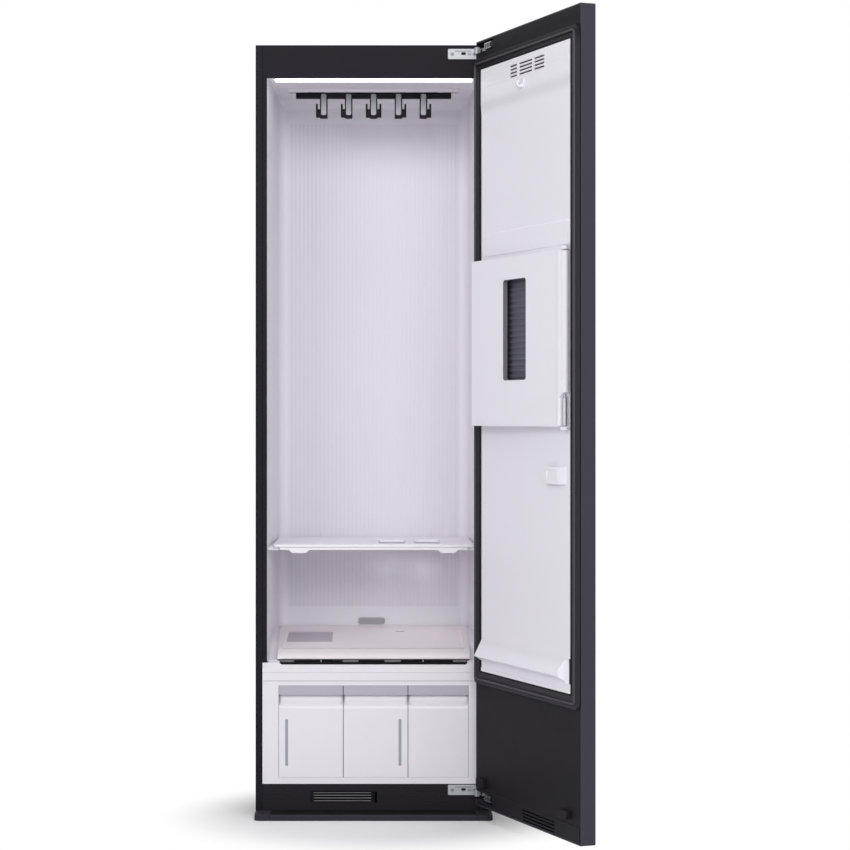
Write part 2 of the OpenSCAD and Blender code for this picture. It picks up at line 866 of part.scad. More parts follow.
// Bracket in the door's pocket: two ears and a stack of links on a web
module door_hinge_bracket(i) {
    half = knuckle_h / 2 + ear_gap;
    far = pocket_u - fit;
    difference() {
        union() {
            for (z = [knuckle_z[i] - half - ear_t, knuckle_z[i] + half])
                along_z([z, z + ear_t]) {
                    translate([pin_u, pin_h]) circle(knuckle_r);
                    translate([pin_u, pin_h - knuckle_r]) square([far - pin_u, knuckle_r * 2 + 10]);
                }
            box([far - bracket_web, far], [pin_h - knuckle_r, pin_h + knuckle_r + 10],
                [knuckle_z[i] - half - ear_t, knuckle_z[i] + half + ear_t]);
            for (k = [-1.5 : 1.5]) translate([0, 0, knuckle_z[i] + k * link_pitch - link_t / 2])
                box([link_u, far - 0.5], [pin_h - knuckle_r + 1, -3], [0, link_t]);
            translate([link_u + 12, pin_h + 12, knuckle_z[i] - half - 1]) cylinder(r = 4, h = 2 * half + 2);
        }
        translate([pin_u, pin_h, knuckle_z[i] - pocket_h]) cylinder(r = pin_r + seat_gap, h = 2 * pocket_h);
    }
}

module door_hinge_brackets() {
    color("#aeb0b6") in_door() for (i = [0, 1]) door_hinge_bracket(i);
}

module door_hinge_pins() {
    length = knuckle_h + 2 * (ear_gap + ear_t) + 1;
    color("#c9cbd0") in_door() for (i = [0, 1])
        translate([pin_u, pin_h, knuckle_z[i] - length / 2]) cylinder(r = pin_r, h = length);
}

// Door

// Hinge pocket, open to the inner face and to the hinge edge
module pocket(i, grow) {
    box([-eps, pocket_u + grow], [-door_t + skin_t, 5],
        [knuckle_z[i] - pocket_h / 2 - grow, knuckle_z[i] + pocket_h / 2 + grow]);
}

module door_outer_panel() {
    color("#2e2d34") in_door() difference() {
        along_y([-door_t, 0]) rrect([0, door_w], [door_z, cab_h], 4);
        along_y([-door_t + skin_t, eps]) rrect([skin_t, door_w - skin_t], [door_z + skin_t, cab_h - skin_t], 3);
        for (i = [0, 1]) pocket(i, 0);
    }
}

module door_inner_panel() {
    inside = skin_t + rim_gap;
    slot_u = [280, 460];
    slot_rows = 4;
    slot_pitch = 8;
    trim_z = door_z + 43;
    trim_h = 1.2;
    trim_foot = door_z + inside + 1;
    color("#211f27") in_door() difference() {
        union() {
            along_y([-inner_t, 0]) rrect([inside, door_w - inside], [door_z + inside, cab_h - inside], 3);
            for (i = [0, 1]) intersection() {
                pocket(i, well_t);
                box([inside + skin_t, pocket_u + well_t], [-door_t + skin_t + rim_gap, 0], [0, cab_h]);
            }
            // Raised foot of the panel with a bevelled top edge
            along_x([inside + 4, door_w - inside - 4]) polygon([
                [-1, trim_foot], [0, trim_foot], [trim_h, trim_foot + trim_h],
                [trim_h, trim_z - trim_h], [0, trim_z], [-1, trim_z]]);
        }
        for (i = [0, 1]) pocket(i, 0);
        for (row = [0 : slot_rows - 1]) along_y([-inner_t - eps, trim_h + eps])
            translate([0, door_z + 7 + row * slot_pitch]) rrect(slot_u, [0, 3.8], 1.8);
    }
}

// Outline of the inner frame, drawn in by some distance
module frame_outline(inset) {
    rrect([frame_u + inset, door_w - frame_u - inset], [frame_z + inset, frame_top - inset], 14 - inset * 0.4);
}

module door_inner_frame() {
    color("#201f26") in_door() difference() {
        along_y([0, frame_h]) difference() {
            frame_outline(0);
            rrect([liner_u0, liner_u1], [liner_z0, liner_z1], 6);
        }
        along_y([frame_h - gasket_seat, frame_h + eps]) difference() {
            frame_outline(gasket_in);
            frame_outline(gasket_in + gasket_w);
        }
    }
}

module door_gasket() {
    color("#17161b") in_door() along_y([frame_h - gasket_seat, gasket_h]) difference() {
        frame_outline(gasket_in + fit);
        frame_outline(gasket_in + gasket_w - fit);
    }
}

// Side view of the drip lip
module drip_side() {
    polygon([
        [liner_h - 1, drip_root], [liner_h - 1, drip_top], [liner_h, drip_top],
        [drip_h, drip_tip + 2], [drip_h, drip_tip], [drip_h - 4, drip_tip - 1], [liner_h, drip_root]]);
}

module door_liner() {
    u = [liner_u0 + fit, liner_u1 - fit];
    z = [liner_z0 + fit, liner_z1 - fit];
    columns = [[-75, -32], [-23, 54], [62, 121]];
    rows = 4;
    lip_end = 20;
    color("#dedce4") in_door() difference() {
        union() {
            along_y([0, liner_h]) rrect(u, z, 6);
            // Raised field for the vents, running out below
            along_x([u[0] + 3, u[1] - 3]) polygon([
                [liner_h - 1, vent_z0 - 40], [liner_h, vent_z0 - 40], [vent_h, vent_z0 + 10],
                [vent_h, z[1] - 5], [liner_h, z[1] - 3], [liner_h - 1, z[1] - 3]]);
            along_x(u) drip_side();
        }
        // Vent slots in three columns
        for (c = columns, row = [0 : rows - 1]) along_y([1, vent_h + eps])
            translate([door_mid, liner_z1 - 40 + row * vent_pitch]) rrect(c, [0, 4.5], 1.5);
        // Fine lines on each side of the slots
        for (row = [0 : rows]) box([u[0], u[1]], [vent_h - 0.6, vent_h + eps],
            [liner_z1 - 42.5 + row * vent_pitch, liner_z1 - 41.7 + row * vent_pitch]);
        // Slanting end of the drip lip
        translate([u[1], liner_h, 0]) rotate([0, 0, 45]) box([-lip_end, lip_end], [0, 40], [drip_root - 5, drip_top + 1]);
    }
}

module door_buffers() {
    color("#131316") in_door() {
        along_y([0, gasket_h - 1]) rrect([24, 66], [door_z + 50, door_z + 74], 4);
        along_y([0, gasket_h - 1]) rrect([door_w - 97, door_w - 52], [door_z + 54, door_z + 72], 4);
    }
}

module garment_hook() {
    u = [door_mid - 8, door_mid + 8];
    z = vent_z0 + 18;
    color("#e6e4ea") in_door() {
        along_y([vent_h, vent_h + 2]) rrect(u, [z, z + 22], 4);
        along_x([u[0] + 4, u[1] - 4]) difference() {
            union() {
                translate([vent_h + 2, z + 1]) square([8, 4]);
                translate([vent_h + 10, z + 9]) circle(8);
            }
            translate([vent_h + 10, z + 9]) circle(4.5);
            translate([vent_h - 10, z + 9]) square([20, 10]);
            translate([vent_h - 10, z - eps]) square([12, 18]);
        }
    }
}

module hem_clamp() {
    u = [liner_u0 + 30, liner_u1 - 6];
    z = [hem_z, hem_z + hem_h];
    h = [liner_h, liner_h + 7];
    color("#e0dee6") in_door() difference() {
        intersection() {
            along_y(h) rrect(u, z, 5);
            along_x(u) {
                rrect([h[0], h[1]], z, 3);
                translate([h[0], z[0]]) square([3.6, hem_h]);
            }
        }
        // Gap that takes the hem
        box([u[0] - eps, u[1] + eps], [h[1] - 3, h[1] + eps], [z[0] + 14, z[0] + 15.2]);
    }
}

module press_base() {
    u = [plate_u0 + 2, base_u1];
    color("#cfcfd6") in_door() difference() {
        union() {
            along_y([liner_h, base_top]) rrect(u, [press_z + 2, press_top - 2], 6);
            for (z = [press_z - press_ear_gap - press_ear_h, press_top + press_ear_gap]) along_z([z, z + press_ear_h]) {
                translate([press_u, axis_h]) circle(barrel_r);
                translate([press_u - barrel_r, liner_h]) square([1.6 * barrel_r, axis_h - liner_h]);
            }
        }
        translate([press_u, axis_h, press_z - 40]) cylinder(r = pin_r + seat_gap, h = press_h + 80);
    }
}

module press_hinge_pin() {
    z = [press_z - press_ear_gap - press_ear_h - 1, press_top + press_ear_gap + press_ear_h + 1];
    collar = [press_z + 2, barrel_z - 2];
    color("#c4c6cb") in_door() translate([press_u, axis_h, 0]) {
        translate([0, 0, z[0]]) cylinder(r = pin_r, h = z[1] - z[0]);
        translate([0, 0, collar[0]]) cylinder(r = collar_r, h = collar[1] - collar[0]);
    }
}

// Press plate with its window and the hinge barrel along one edge
module press_plate() {
    edge_r = 4;
    outer = press_back + press_t;
    barrel = [barrel_z, barrel_z + barrel_l];
    color("#e6e4ea") in_press() difference() {
        union() {
            intersection() {
                along_z([press_z, press_top]) {
                    rrect([plate_u0, plate_u1], [press_back, outer], edge_r);
                    translate([plate_u1 - 10, press_back]) square([10, press_t]);
                }
                along_y([0, outer + eps]) rrect([plate_u0, plate_u1], [press_z, press_top], 6);
            }
            along_z(barrel) {
                translate([press_u, axis_h]) circle(barrel_r);
                translate([plate_u1 - 8, press_back]) square([barrel_r + 8, press_t]);
            }
        }
        translate([press_u, axis_h, 0]) cylinder(r = pin_r + run_gap, h = cab_h);
        // Slanting lower end of the barrel
        along_y([press_back - 5, outer + 5]) polygon([
            [press_u - barrel_r + 2, barrel_z - eps], [press_u + barrel_r + eps, barrel_z - eps],
            [press_u + barrel_r + eps, barrel_z + 12], [press_u - barrel_r + 2, barrel_z]]);
        along_y([0, outer + eps]) rrect([window_u, window_u + window_w], [window_z, window_z + window_h], 8);
    }
}

module trouser_clip() {
    z = [press_z - 134, press_z - 94];
    tab_u = [press_u - 110, press_u - 42];
    foot_u = [tab_u[1] - 14, tab_u[1] + 26];
    h = [liner_h, liner_h + 2, liner_h + 6.4, liner_h + 9.4];
    color("#e6e4ea") in_door() difference() {
        intersection() {
            along_z(z) polygon([
                [foot_u[0], h[0]], [foot_u[1], h[0]], [foot_u[1], h[1]], [tab_u[1], h[3]],
                [tab_u[0], h[3]], [tab_u[0], h[2]], [foot_u[0], h[2]]]);
            along_y([h[0] - 1, h[3] + 1]) rrect([tab_u[0], foot_u[1]], z, 4);
        }
        // Shallow field inside the tab's rim
        along_y([h[3] - 0.8, h[3] + 1]) rrect([tab_u[0] + 10, tab_u[1] - 8], [z[0] + 7, z[1] - 7], 3);
    }
}

// Hanger

module hanger_guide_rail() {
    y = [bar_y - rail_w / 2, bar_y + rail_w / 2];
    z = [ceiling_z - rail_h, ceiling_z];
    color("#dedce4") along_x([-bar_l / 2 - shake, bar_l / 2 + shake]) {
        translate([y[0], z[1] - rail_t]) square([rail_w, rail_t]);
        for (wall = [y[0], y[1] - rail_t]) translate([wall, z[0]]) square([rail_t, rail_h]);
        for (edge = [y[0], y[1] - rail_lip]) translate([edge, z[0]]) square([rail_lip, rail_t]);
    }
}

module hanger_bar() {
    neck = rail_w - 2 * rail_lip - 10;
    head = rail_w - 2 * rail_t - 2 * slide_gap;
    head_z = [ceiling_z - rail_h + rail_t + slide_gap, ceiling_z - rail_t - slide_gap];
    color("#1a1a1e") {
        along_x([-bar_l / 2, bar_l / 2]) rrect([bar_y - bar_d / 2, bar_y + bar_d / 2], [bar_z, bar_top], 3);
        for (side = [-1, 1]) along_x([side * glider_x - glider_l / 2, side * glider_x + glider_l / 2]) {
            translate([bar_y - neck / 2, bar_top - eps]) square([neck, head_z[0] - bar_top + 2 * eps]);
            translate([bar_y - head / 2, head_z[0]]) square([head, head_z[1] - head_z[0]]);
        }
    }
}

// Front view of one arm with a slotted hook on the given sides
module arm_view(sides) {
    hook_z = [arm_z + hook_rise, arm_z + hook_rise + hook_h];
    translate([-arm_w / 2, arm_z + 3]) square([arm_w, arm_drop - 3]);
    rrect([-arm_w / 2, arm_w / 2], [arm_z, arm_z + 8], 3);
    for (s = sides) {
        lip = s * (arm_w / 2 + hook_gap);
        end = lip + s * hook_wall;
        rrect([min(0, end), max(0, end)], [hook_z[0], hook_z[1] - hook_slot], 2);
        rrect([min(lip, end), max(lip, end)], hook_z, 2);
    }
}

module hanger_arms() {
    color("#1f1f24") for (i = [0 : 4]) translate([(i - 2) * arm_pitch, 0, 0])
        along_y([bar_y - bar_d / 2, bar_y + bar_d / 2]) arm_view(arm_sides[i]);
}

module hanger_arm_plates() {
    front = bar_y - bar_d / 2;
    width = arm_w - 6;
    color("#c2c4c9") for (i = [0 : 4]) translate([(i - 2) * arm_pitch, 0, 0])
        along_y([front - 1.5, front]) rrect([-width / 2, width / 2], [arm_z + 8, bar_top - 3], 4);
}

module hanger_motor() {
    z = ceiling_z + liner_t;
    color("#55565c") {
        along_z([z, z + 40]) rrect([-60, 60], [bar_y + 50, bar_y + 120], 6);
        translate([30, bar_y + 85, z + 39]) cylinder(r = 26, h = 22);
    }
}

// Shelf

module shelf() {
    y = [shelf_y, shelf_y + shelf_d];
    lip_half = shelf_half - ledge_reach - 2;
    lip_z = shelf_z - shelf_lip;
    tab_x = [shelf_half - 92, shelf_half - 40];
    color("#e6e4ea") difference() {
        union() {
            along_z([shelf_z - shelf_t, shelf_z]) rrect([-shelf_half, shelf_half], y, 5);
            box([-lip_half, lip_half], [y[0] + 1, y[0] + 9], [lip_z, shelf_z - shelf_t + 1]);
            box([-lip_half, lip_half], [y[1] - 8, y[1]], [lip_z, shelf_z - shelf_t + 1]);
            // Finger tabs below the front lip
            both_sides() along_y([y[0] + 1, y[0] + 9]) polygon([
                [tab_x[0], lip_z + 1], [tab_x[0], lip_z], [tab_x[0] + shelf_tab, lip_z - shelf_tab],
                [tab_x[1] - shelf_tab, lip_z - shelf_tab], [tab_x[1], lip_z], [tab_x[1], lip_z + 1]]);
        }
        for (x = slot_x) along_z([lip_z - eps, shelf_z + eps])
            rrect([x - slot_w / 2, x + slot_w / 2], slot_y, 12);
    }
}

// Machine room

module compressor() {
    r = 72;
    body_h = 120;
    color("#1c1c1e") translate([150, machine_y, base_h]) {
        along_z([0, 4]) rrect([-r - 12, r + 12], [-r, r], 14);
        translate([0, 0, 3]) rotate_extrude() {
            square([r, body_h]);
            translate([0, body_h]) intersection() {
                circle(r);
                square([r, r]);
            }
        }
    }
}

module heat_exchanger() {
    fins = 24;
    x = [-250, -20];
    y = [machine_y - 70, machine_y + 70];
    z = [deck_z - 110, deck_z];
    pitch = (x[1] - x[0]) / fins;
    color("#b9bcc0") {
        for (end = [x[0] - 6, x[1] - 2]) box([end, end + 8], y, z);
        for (i = [1 : fins - 1]) box([x[0] + i * pitch, x[0] + i * pitch + 1.5], y, [z[0] + 2, z[1] - 2]);
        for (row = [0 : 2]) translate([x[0], machine_y - 45 + row * 45, (z[0] + z[1]) / 2]) rotate([0, 90, 0])
            cylinder(r = 6, h = x[1] - x[0]);
    }
}

module blower_housing() {
    wall = 3;
    y = [scroll_y, scroll_y + scroll_d];
    color("#3a3b40") difference() {
        union() {
            along_y(y) {
                translate([fan_x, fan_z]) circle(scroll_r);
                translate([fan_x - scroll_r, fan_z]) square([scroll_r * 0.9, scroll_r + 14]);
            }
            for (side = [-1, 1]) box([fan_x + side * 50 - 10, fan_x + side * 50 + 10], [y[0], y[1]],
                [base_h, fan_z - 50]);
        }
        along_y([y[0] + wall, y[1] - wall]) {
            translate([fan_x, fan_z]) circle(scroll_r - wall);
            translate([fan_x - scroll_r + wall, fan_z]) square([scroll_r * 0.9 - 2 * wall, scroll_r + 15]);
        }
        along_y([y[0] - eps, y[0] + wall + eps]) translate([fan_x, fan_z]) circle(fan_r - 12);
        along_y([y[1] - wall - eps, y[1] + eps]) translate([fan_x, fan_z]) circle(shaft_r + 3);
    }
}

module fan_motor() {
    y = scroll_y + scroll_d;
    color("#77797e") translate([fan_x, y, fan_z]) rotate([-90, 0, 0]) difference() {
        union() {
            cylinder(r = 36, h = 46);
            cylinder(r = 48, h = 4);
        }
        translate([0, 0, -eps]) cylinder(r = shaft_r + run_gap, h = 30);
    }
}

module fan_wheel() {
    blades = 18;
    y = [scroll_y + 8, scroll_y + scroll_d - 8];
    color("#4d4f55") translate([fan_x, 0, fan_z]) {
        along_y([y[1] - 3, y[1]]) circle(fan_r);
        along_y([y[1] - 16, y[1]]) circle(16);
        along_y([y[1] - 1, scroll_y + scroll_d + 26]) circle(shaft_r);
        for (i = [0 : blades - 1]) rotate([0, i * 360 / blades, 0]) translate([fan_r - 9, 0, 0])
            along_y([y[0], y[1] - 2]) rotate(35) translate([-9, -0.8]) square([14, 1.6]);
    }
}

module steam_generator() {
    x = [80, 230];
    z = [bay_z + bay_h - 82, bay_z + bay_h - 2];
    depth = 80;
    color("#8b8d92") {
        // Flange on the back of the container bay
        along_y([bay_back, bay_back + 4]) rrect([x[0] - 10, x[1] + 10], [z[0] - 5, z[1] + 5], 8);
        along_y([bay_back + 3, bay_back + depth]) rrect(x, z, 14);
        translate([(x[0] + x[1]) / 2, bay_back + depth / 2, z[1] - 2]) cylinder(r = 10, h = 30);
    }
}

base_plate();
base_end_caps();
left_side_panel();
right_side_panel();
top_panel();
rear_panel();
header_fascia();
breaker_strips();
inner_liner();
ribbed_back_panel();
light_lens();
hanger_guide_rail();
shelf_ledges();
floor_tray();
intake_grille();
vent_cover();
filter_deck();
lower_fascia();
container_bay();
plinth();
plinth_grille();
upper_hinge_arm();
lower_hinge_arm();
compressor();
heat_exchanger();
blower_housing();
fan_motor();
fan_wheel();
steam_generator();
hanger_motor();
cord_gland();
hanger_bar();
hanger_arms();
hanger_arm_plates();
shelf();
supply_tank_body();
supply_tank_lid();
supply_tank_window();
drain_tank_body();
drain_tank_lid();
drain_tank_window();
aroma_case_body();
aroma_case_lid();
lint_filter_frame();
lint_filter_mesh();
door_outer_panel();
door_inner_panel();
door_inner_frame();
door_gasket();
door_liner();
door_buffers();
garment_hook();
hem_clamp();
press_base();
trouser_clip();
door_hinge_brackets();
door_hinge_pins();
press_hinge_pin();
press_plate();
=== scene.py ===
# Garment-care cabinet with a trouser press on its open door, seen from the front.
import json
import math

import bmesh
import bpy
from mathutils import Matrix, Vector


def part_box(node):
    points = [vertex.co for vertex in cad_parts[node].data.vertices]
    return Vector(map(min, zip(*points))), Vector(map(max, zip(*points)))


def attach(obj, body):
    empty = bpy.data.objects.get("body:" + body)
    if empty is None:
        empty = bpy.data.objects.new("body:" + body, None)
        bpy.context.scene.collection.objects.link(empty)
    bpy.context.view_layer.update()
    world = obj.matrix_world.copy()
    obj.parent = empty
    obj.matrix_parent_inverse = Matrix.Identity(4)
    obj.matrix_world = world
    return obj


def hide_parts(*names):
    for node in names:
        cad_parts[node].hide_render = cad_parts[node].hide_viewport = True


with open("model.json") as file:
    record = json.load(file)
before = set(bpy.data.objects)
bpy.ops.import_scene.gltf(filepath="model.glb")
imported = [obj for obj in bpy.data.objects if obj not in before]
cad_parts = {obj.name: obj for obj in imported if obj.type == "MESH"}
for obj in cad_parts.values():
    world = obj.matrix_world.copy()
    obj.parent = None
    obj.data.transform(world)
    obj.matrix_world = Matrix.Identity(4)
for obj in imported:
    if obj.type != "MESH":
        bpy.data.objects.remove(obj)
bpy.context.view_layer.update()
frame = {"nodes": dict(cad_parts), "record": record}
mm = 0.001
white = (1.0, 1.0, 1.0, 1.0)
scene = bpy.context.scene
scene.view_settings.view_transform = "Standard"


# Small helpers for node trees

def fillInputs(tree, node, inputs):
    for key, value in inputs.items():
        for source in value if isinstance(value, list) else [value]:  # a list joins several sockets
            if isinstance(source, bpy.types.NodeSocket):
                tree.links.new(source, node.inputs[key])
            else:
                node.inputs[key].default_value = source


def addNode(tree, kind, inputs=None, **settings):
    node = tree.nodes.new(kind)
    for key, value in settings.items():
        setattr(node, key, value)
    fillInputs(tree, node, inputs or {})
    return node.outputs


def shade(tree, kind, inputs=None, **settings):
    return addNode(tree, "ShaderNode" + kind, inputs, **settings)


def form(tree, kind, inputs=None, **settings):
    return addNode(tree, "GeometryNode" + kind, inputs, **settings)


def calc(tree, operation, a, b=0.0, c=0.0):
    return shade(tree, "Math", {0: a, 1: b, 2: c}, operation=operation)[0]


def vectorCalc(tree, operation, a, b=(0, 0, 0)):
    return shade(tree, "VectorMath", {0: a, 1: b}, operation=operation)


def combine(tree, x=0.0, y=0.0, z=0.0):
    return shade(tree, "CombineXYZ", {0: x, 1: y, 2: z})[0]


def split(tree, value):
    return shade(tree, "SeparateXYZ", {0: value})


def noise(tree, place, scale, detail, distortion=0.0):
    values = {"Vector": place, "Scale": scale, "Detail": detail, "Distortion": distortion}
    return shade(tree, "TexNoise", values)[0]


def mixColor(tree, share, a, b, blend="MIX"):
    return shade(tree, "Mix", {0: share, 6: a, 7: b}, data_type="RGBA", blend_type=blend)[2]


# Colour times a grey level
def tint(tree, color, level):
    grey = shade(tree, "CombineColor", {0: level, 1: level, 2: level})[0]
    return mixColor(tree, 1.0, color, grey, "MULTIPLY")


# A socket's kind follows from its label, or else from its first value
labelKinds = {"Geometry": "Geometry", "Finish": "Material", "Head": "Object"}


def socketKind(label, value):
    if label in labelKinds:
        return labelKinds[label]
    if isinstance(value, tuple):
        return "Vector" if len(value) == 3 else "Color"
    return "Int" if isinstance(value, int) else "Float"


def newTree(name, kind, inputs, outputs):
    tree = bpy.data.node_groups.new(name, kind)
    for side, sockets in (("INPUT", inputs), ("OUTPUT", outputs)):
        for label, value in sockets.items():
            socketType = "NodeSocket" + socketKind(label, value)
            socket = tree.interface.new_socket(label, in_out=side, socket_type=socketType)
            if value is not None:
                socket.default_value = value
    return tree, tree.nodes.new("NodeGroupInput").outputs, tree.nodes.new("NodeGroupOutput").inputs


def newShader(name, inputs, outputs):
    tree, given, result = newTree(name, "ShaderNodeTree", inputs, outputs)
    return tree, given, result, shade(tree, "TexCoord")["Object"]


def linear(rgb):
    shares = [v / 255 for v in rgb]
    return tuple(s / 12.92 if s <= 0.04045 else ((s + 0.055) / 1.055) ** 2.4 for s in shares) + (1.0,)


# Camera at the photo's place
cameraSet = {"place": (0.0, -5.7645, 1.0181), "lens": 96.03, "sensor": 36.0, "shiftX": 0.0605,
             "shiftY": -0.0110}
cameraData = bpy.data.cameras.new("camera")
cameraData.lens = cameraSet["lens"]
cameraData.sensor_width = cameraSet["sensor"]
cameraData.shift_x = cameraSet["shiftX"]
cameraData.shift_y = cameraSet["shiftY"]
camera = bpy.data.objects.new("camera", cameraData)
camera.location = cameraSet["place"]
camera.rotation_euler = (math.pi / 2, 0, 0)
scene.collection.objects.link(camera)
scene.camera = camera
print("camera set")

# Shader groups that several finishes share: fine grain of moulded and coated faces
grainSet = {"scale": 1500.0, "detail": 3.0, "pits": 0.4, "distance": 0.0006}


def makeMouldGrain():
    tree, given, result, place = newShader("mouldGrain", {"Scale": grainSet["scale"]}, {"Height": 0.0})
    fine = noise(tree, place, given["Scale"], grainSet["detail"])
    pits = shade(tree, "TexVoronoi", {"Vector": place, "Scale": given["Scale"]})["Distance"]
    tree.links.new(calc(tree, "MULTIPLY_ADD", pits, grainSet["pits"], fine), result["Height"])
    return tree


# Slow drift of the colour
driftSet = {"amount": 0.04, "scale": 3.0, "detail": 2.0}


def makeToneDrift():
    tree, given, result, place = newShader("toneDrift", {
        "Color": white, "Amount": driftSet["amount"], "Scale": driftSet["scale"]}, {"Color": white})
    off = calc(tree, "SUBTRACT", noise(tree, place, given["Scale"], driftSet["detail"]), 0.5)
    level = calc(tree, "MULTIPLY_ADD", off, given["Amount"], 1.0)
    tree.links.new(tint(tree, given["Color"], level), result["Color"])
    return tree


# Broken lightening along edges: worn paint, and in part a painted highlight on the edges
edgeWearSheenSet = {"radius": 0.0012, "strength": 0.6, "samples": 4, "gain": 6.0, "patches": 60.0, "detail": 4.0}


def makeEdgeWearSheen():
    tree, given, result, place = newShader("edgeWearSheen", {
        "Radius": edgeWearSheenSet["radius"], "Strength": edgeWearSheenSet["strength"]}, {"Mask": 0.0})
    rounded = shade(tree, "Bevel", {"Radius": given["Radius"]}, samples=edgeWearSheenSet["samples"])[0]
    turn = vectorCalc(tree, "DOT_PRODUCT", rounded, shade(tree, "NewGeometry")["Normal"])["Value"]
    bend = calc(tree, "MULTIPLY", calc(tree, "SUBTRACT", 1.0, turn), edgeWearSheenSet["gain"])
    broken = calc(tree, "MULTIPLY", bend, noise(tree, place, edgeWearSheenSet["patches"], edgeWearSheenSet["detail"]))
    mask = shade(tree, "Clamp", {"Value": calc(tree, "MULTIPLY", broken, given["Strength"])})[0]
    tree.links.new(mask, result["Mask"])
    return tree


# Smears that change the roughness
handlingSet = {"rough": 0.4, "amount": 0.12, "scale": 14.0, "detail": 5.0, "distortion": 0.6}


def makeHandling():
    tree, given, result, place = newShader("handling", {
        "Roughness": handlingSet["rough"], "Amount": handlingSet["amount"]}, {"Roughness": 0.0})
    smears = noise(tree, place, handlingSet["scale"], handlingSet["detail"], handlingSet["distortion"])
    off = calc(tree, "SUBTRACT", smears, 0.5)
    tree.links.new(calc(tree, "MULTIPLY_ADD", off, given["Amount"], given["Roughness"]), result["Roughness"])
    return tree


# Brush lines of metals
brushSet = {"stretch": (40.0, 40.0, 2500.0), "scale": 1.0, "detail": 3.0, "dark": 0.82, "roughSwing": 0.16,
            "strength": 0.06, "distance": 0.0002}


def makeBrushLines():
    tree, given, result, place = newShader("brushLines", {"Stretch": brushSet["stretch"]}, {"Lines": 0.0})
    drawn = vectorCalc(tree, "MULTIPLY", place, given["Stretch"])[0]
    tree.links.new(noise(tree, drawn, brushSet["scale"], brushSet["detail"]), result["Lines"])
    return tree


# Painted light as a soft band across one direction: painted shade for an amount above zero and a painted
# highlight for one below
def makePaintedLightBand():
    tree, given, result, place = newShader("paintedLightBand", {
        "Color": white, "Along": (0, 0, 1), "Middle": 0.0, "Width": 0.01, "Amount": 0.1}, {"Color": white})
    along = vectorCalc(tree, "DOT_PRODUCT", place, given["Along"])["Value"]
    off = calc(tree, "DIVIDE", calc(tree, "SUBTRACT", along, given["Middle"]), given["Width"])
    dip = calc(tree, "EXPONENT", calc(tree, "MULTIPLY", calc(tree, "MULTIPLY", off, off), -1.0))
    level = calc(tree, "SUBTRACT", 1.0, calc(tree, "MULTIPLY", dip, given["Amount"]))
    tree.links.new(tint(tree, given["Color"], level), result["Color"])
    return tree


groups = {"grain": makeMouldGrain(), "drift": makeToneDrift(), "rub": makeEdgeWearSheen(),
          "handling": makeHandling(), "brush": makeBrushLines(), "band": makePaintedLightBand()}


def useGroup(tree, name, inputs):
    return shade(tree, "Group", inputs, node_tree=groups[name])


